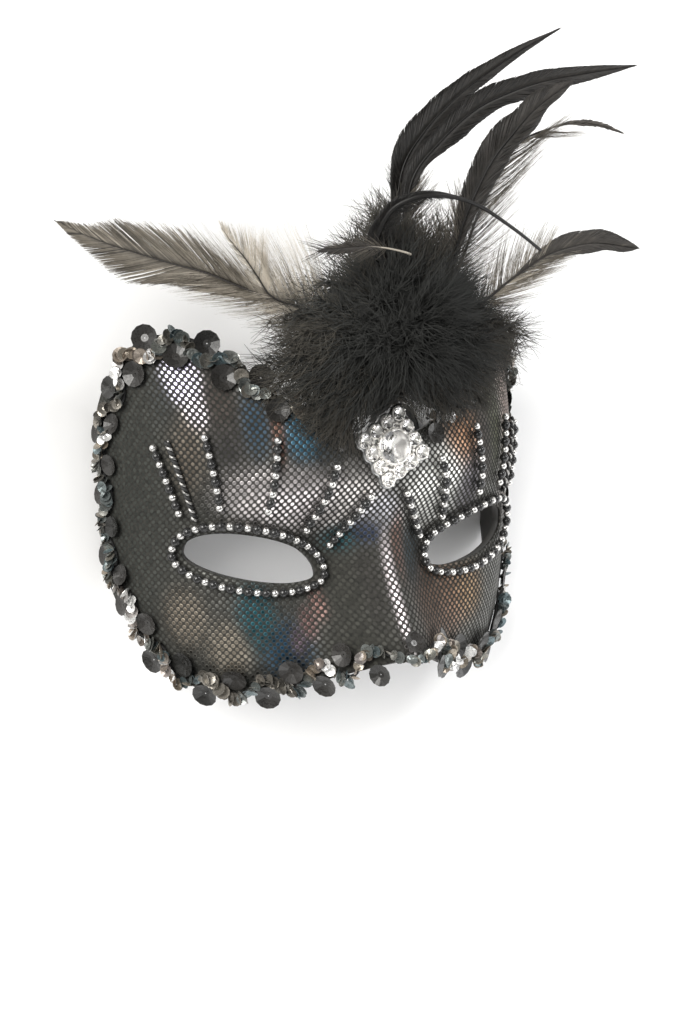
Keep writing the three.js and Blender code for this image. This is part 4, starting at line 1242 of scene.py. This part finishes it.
def vane(start, half_width, tone=(0.01, 0.11), lean=(60, 70), side=0, spacing=0.16, width=0.32, thin=0.09,
         loose=0.6, vary=(0.985, 1.005), taper=4.0, outline=blade, end=0.995):
    """Flat barbs that lie close beside each other, as wide across the feather as half_width says."""
    return {"side": side, "from": start, "to": end, "spacing": spacing, "half_width": half_width,
            "outline": outline, "vary": vary, "lean": lean, "loose": loose, "bend": 0.1, "fluff": 0.02,
            "width": width, "thin": thin, "taper": taper, "tone": tone, "jitter": 0.25, "corners": 4}


def downy(start, end, reach, tone=0.5, lean=(35, 45), side=0, spacing=0.3, width=0.09, fluff=0.2, loose=10,
          vary=(0.4, 1.1), outline=level):
    """Loose fine barbs, as long as reach says."""
    return {"side": side, "from": start, "to": end, "spacing": spacing, "reach": reach, "outline": outline,
            "vary": vary, "lean": lean, "loose": loose, "bend": 0.22, "fluff": fluff, "width": width,
            "thin": width, "taper": 1.5, "tone": (tone, tone), "jitter": 0.9, "corners": 3}


# Slot, quill (radius, share it thins by, tone) and layers of barbs
FEATHER_SPECS = {
    "feather_top_long": ("black_feather", (0.5, 0.8, 0.0), [
        vane(0.16, 4.6, side=1, outline=slim), vane(0.16, 4.0, side=-1, outline=slim),
        downy(0.03, 0.36, 9, 0.03, side=1, spacing=0.15), downy(0.05, 0.3, 9, 0.1, side=-1)]),
    "feather_top_broad": ("black_feather", (0.5, 0.8, 0.0), [
        vane(0.16, 3.8, side=1), vane(0.16, 4.7, side=-1), downy(0.05, 0.28, 8, 0.05),
        downy(0.02, 0.26, 14, 0.42, (20, 50), -1, 0.08)]),
    "feather_right_tall": ("black_feather", (0.5, 0.8, 0.0), [
        vane(0.2, 5.0, (0.12, 0.2)), downy(0.08, 0.75, 10, 0.2, (50, 60)),
        downy(0.02, 0.4, 15, 0.42, (20, 50), 1, 0.09)]),
    "feather_thin_curl": ("black_feather", (0.5, 0.8, 0.2), [
        vane(0.74, 0.9, (0.34, 0.3), loose=5, vary=(0.5, 1.1)),
        downy(0.05, 0.7, 24, 0.5, (56, 66), -1, 0.14, 0.06, 0.06, 3, (0.6, 1.05)),
        downy(0.1, 0.5, 9, 0.3, (50, 60), 1)]),
    "bare_quill": ("black_feather", (0.85, 0.4, 0.0), [
        vane(0.0, 2.6, (0.0, 0.0), outline=wedge, end=0.55),
        downy(0.0, 0.5, 10, 0.02, (20, 60), -1, 0.1, outline=wedge),
        downy(0.0, 0.35, 5, 0.02, (40, 60), 1, 0.2)]),
    "feather_right_short": ("black_feather", (0.6, 0.8, 0.15), [
        vane(0.46, 3.8, (0.3, 0.2)), downy(0.03, 0.6, 17, 0.6, (35, 50), 1, 0.1, 0.07, 0.1, 6),
        downy(0.03, 0.6, 17, 0.6, (56, 66), -1, 0.07, 0.08, 0.06, 4)]),
    "feather_left_long": ("grey_feather", (0.6, 0.8, 0.25), [
        vane(0.2, 8.4, (0.57, 0.48), (56, 68), 1, 0.12, 0.15, 0.06, 1.1, (0.9, 1.03), 1.5, leaf),
        vane(0.2, 9.2, (0.57, 0.46), (56, 68), -1, 0.12, 0.15, 0.06, 1.4, (0.86, 1.03), 1.5, leaf),
        downy(0.03, 0.5, 17, 0.65, (50, 60), 1, 0.1, 0.07, 0.1, 5),
        downy(0.03, 0.5, 19, 0.65, (45, 60), -1, 0.08, 0.07, 0.1, 5)]),
    "feather_left_downy": ("grey_feather", (0.45, 0.8, 0.2), [
        downy(0.1, 1.0, 28, 1.0, (22, 72), -1, 0.09, 0.06, 0.06, 4, (0.75, 1.03), wedge),
        downy(0.3, 1.0, 10, 0.85, (50, 70), 1, 0.14, 0.06, 0.1, 5, (0.6, 1), wedge)]),
    # Its quill's pale tone is a painted highlight along the quill.
    "feather_small_centre": ("grey_feather", (0.42, 0.8, 0.75), [
        vane(0.5, 1.5, (0.25, 0.2), loose=5, vary=(0.6, 1.1)), downy(0.45, 1.0, 8, 0.35, (45, 70))]),
}


# Strap

def add_strap():
    half = [np.array(p, float) for p in STRAP_HALF_ROUTE]
    line = spline(half + [p * [-1, 1, 1] for p in reversed(half)], STRAP_STEPS)
    side, up = square_to(heading(line), UP)
    points = np.stack([line + side * x * STRAP_THICKNESS + up * y * STRAP_WIDTH for x, y in STRAP_SECTION], 1)
    faces = rod_faces(len(line), len(STRAP_SECTION))
    piece = make_piece("elastic_strap", points, faces, "elastic", ["strap"], "elastic")


# Camera, from the view fitted to the photograph, in the mask's own frame

CAMERA = {"yaw": 29.985, "pitch": 8.301, "roll": -1.14, "distance": 499.2, "target": (0, 10.4, 52)}
FOCAL_PIXELS = 1558.6
IMAGE_SIZE = (680, 1036)
AIM_PIXEL = (381.126, 520.515)
SENSOR_WIDTH = 36.0

# What the lights aim at, the floor's reach from the middle in metres, and the white light from all round
LIGHT_TARGET = np.array([0.0, 20.0, 50.0])
FLOOR_REACH = 12.0
WORLD_STRENGTH = 0.25


def add_camera():
    yaw, pitch, roll = (math.radians(CAMERA[k]) for k in ("yaw", "pitch", "roll"))
    back = Vector((-math.sin(yaw) * math.cos(pitch), math.sin(pitch), math.cos(yaw) * math.cos(pitch)))
    position = Vector(CAMERA["target"]) + back * CAMERA["distance"]
    right = (-back).cross(Vector((0, 1, 0))).normalized()
    up = right.cross(-back)
    rolled_right = right * math.cos(roll) + up * math.sin(roll)
    rolled_up = up * math.cos(roll) - right * math.sin(roll)
    aim = Vector(((AIM_PIXEL[0] - IMAGE_SIZE[0] / 2) / FOCAL_PIXELS,
                  -(AIM_PIXEL[1] - IMAGE_SIZE[1] / 2) / FOCAL_PIXELS, 1)).normalized()
    turn = aim.rotation_difference(Vector((0, 0, 1))).to_matrix()
    axes = turn.transposed() @ Matrix((rolled_right, rolled_up, -back))
    data = bpy.data.cameras.new("camera")
    data.sensor_fit = "HORIZONTAL"
    data.sensor_width = SENSOR_WIDTH
    data.lens = FOCAL_PIXELS / IMAGE_SIZE[0] * SENSOR_WIDTH
    data.clip_start, data.clip_end = 0.01, 20
    camera = add_object("camera", data)
    rotation = Matrix((axes[0], axes[1], -axes[2])).transposed().to_4x4()
    camera.matrix_world = Matrix.Translation(Vector(placed(position))) @ rotation
    bpy.context.scene.camera = camera


def aim_light(name, data, way, location):
    light = add_object(name, data)
    light.location = location
    light.rotation_mode = "QUATERNION"
    light.rotation_quaternion = Vector(-way).to_track_quat("-Z", "Y")


def add_panel_light(name, direction, distance, size, power):
    data = bpy.data.lights.new(name, "AREA")
    data.shape = "RECTANGLE"
    data.size, data.size_y = (side * MM for side in size)
    data.energy = power
    way = unit(direction)
    aim_light(name, data, way, placed(LIGHT_TARGET + way * distance))


def add_sun(name, direction, strength, spread, color):
    data = bpy.data.lights.new(name, "SUN")
    data.energy = strength
    data.angle = math.radians(spread)
    data.color = color
    aim_light(name, data, unit(direction), (0, 0, 1))


def add_stage():
    s = FLOOR_REACH
    mesh = bpy.data.meshes.new("floor")
    mesh.from_pydata([(-s, -s, 0), (s, -s, 0), (s, s, 0), (-s, s, 0)], [], [[0, 1, 2, 3]])
    mesh.materials.append(mottled("floor_paint", (0.86, 0.86, 0.86), (0.9, 0.9, 0.9), 4, (0.7, 0.8)))
    add_object("floor", mesh)
    world = bpy.data.worlds.new("studio")
    world.use_nodes = True
    background = world.node_tree.nodes["Background"]
    background.inputs["Color"].default_value = (1, 1, 1, 1)
    background.inputs["Strength"].default_value = WORLD_STRENGTH
    bpy.context.scene.world = world


add_camera()
add_stage()
add_sun("key_light", (-0.75, 0.42, 0.5), strength=4.6, spread=42, color=(1, 0.985, 0.955))
add_panel_light("brow_light", (0.26, -0.83, 0.48), distance=650, size=(1450, 480), power=4.2)
add_panel_light("nose_light", (0.51, 0.57, 0.64), distance=700, size=(200, 200), power=2.0)
add_panel_light("side_light", (0.93, -0.15, 0.34), distance=700, size=(420, 420), power=1.8)
bpy.context.scene.view_settings.view_transform = "Standard"
add_strap()
add_shell()
add_fabric()
add_braid()
add_beads()
add_jewel()
add_puff()
for number, (feather, spec) in enumerate(FEATHER_SPECS.items()):
    add_feather(feather, *spec, 100 + number)

for tab in ("strap_tab_left", "strap_tab_right"):
    tab_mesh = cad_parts[tab].data
    tab_mesh.materials.clear()
    tab_mesh.materials.append(MATERIALS["elastic"])
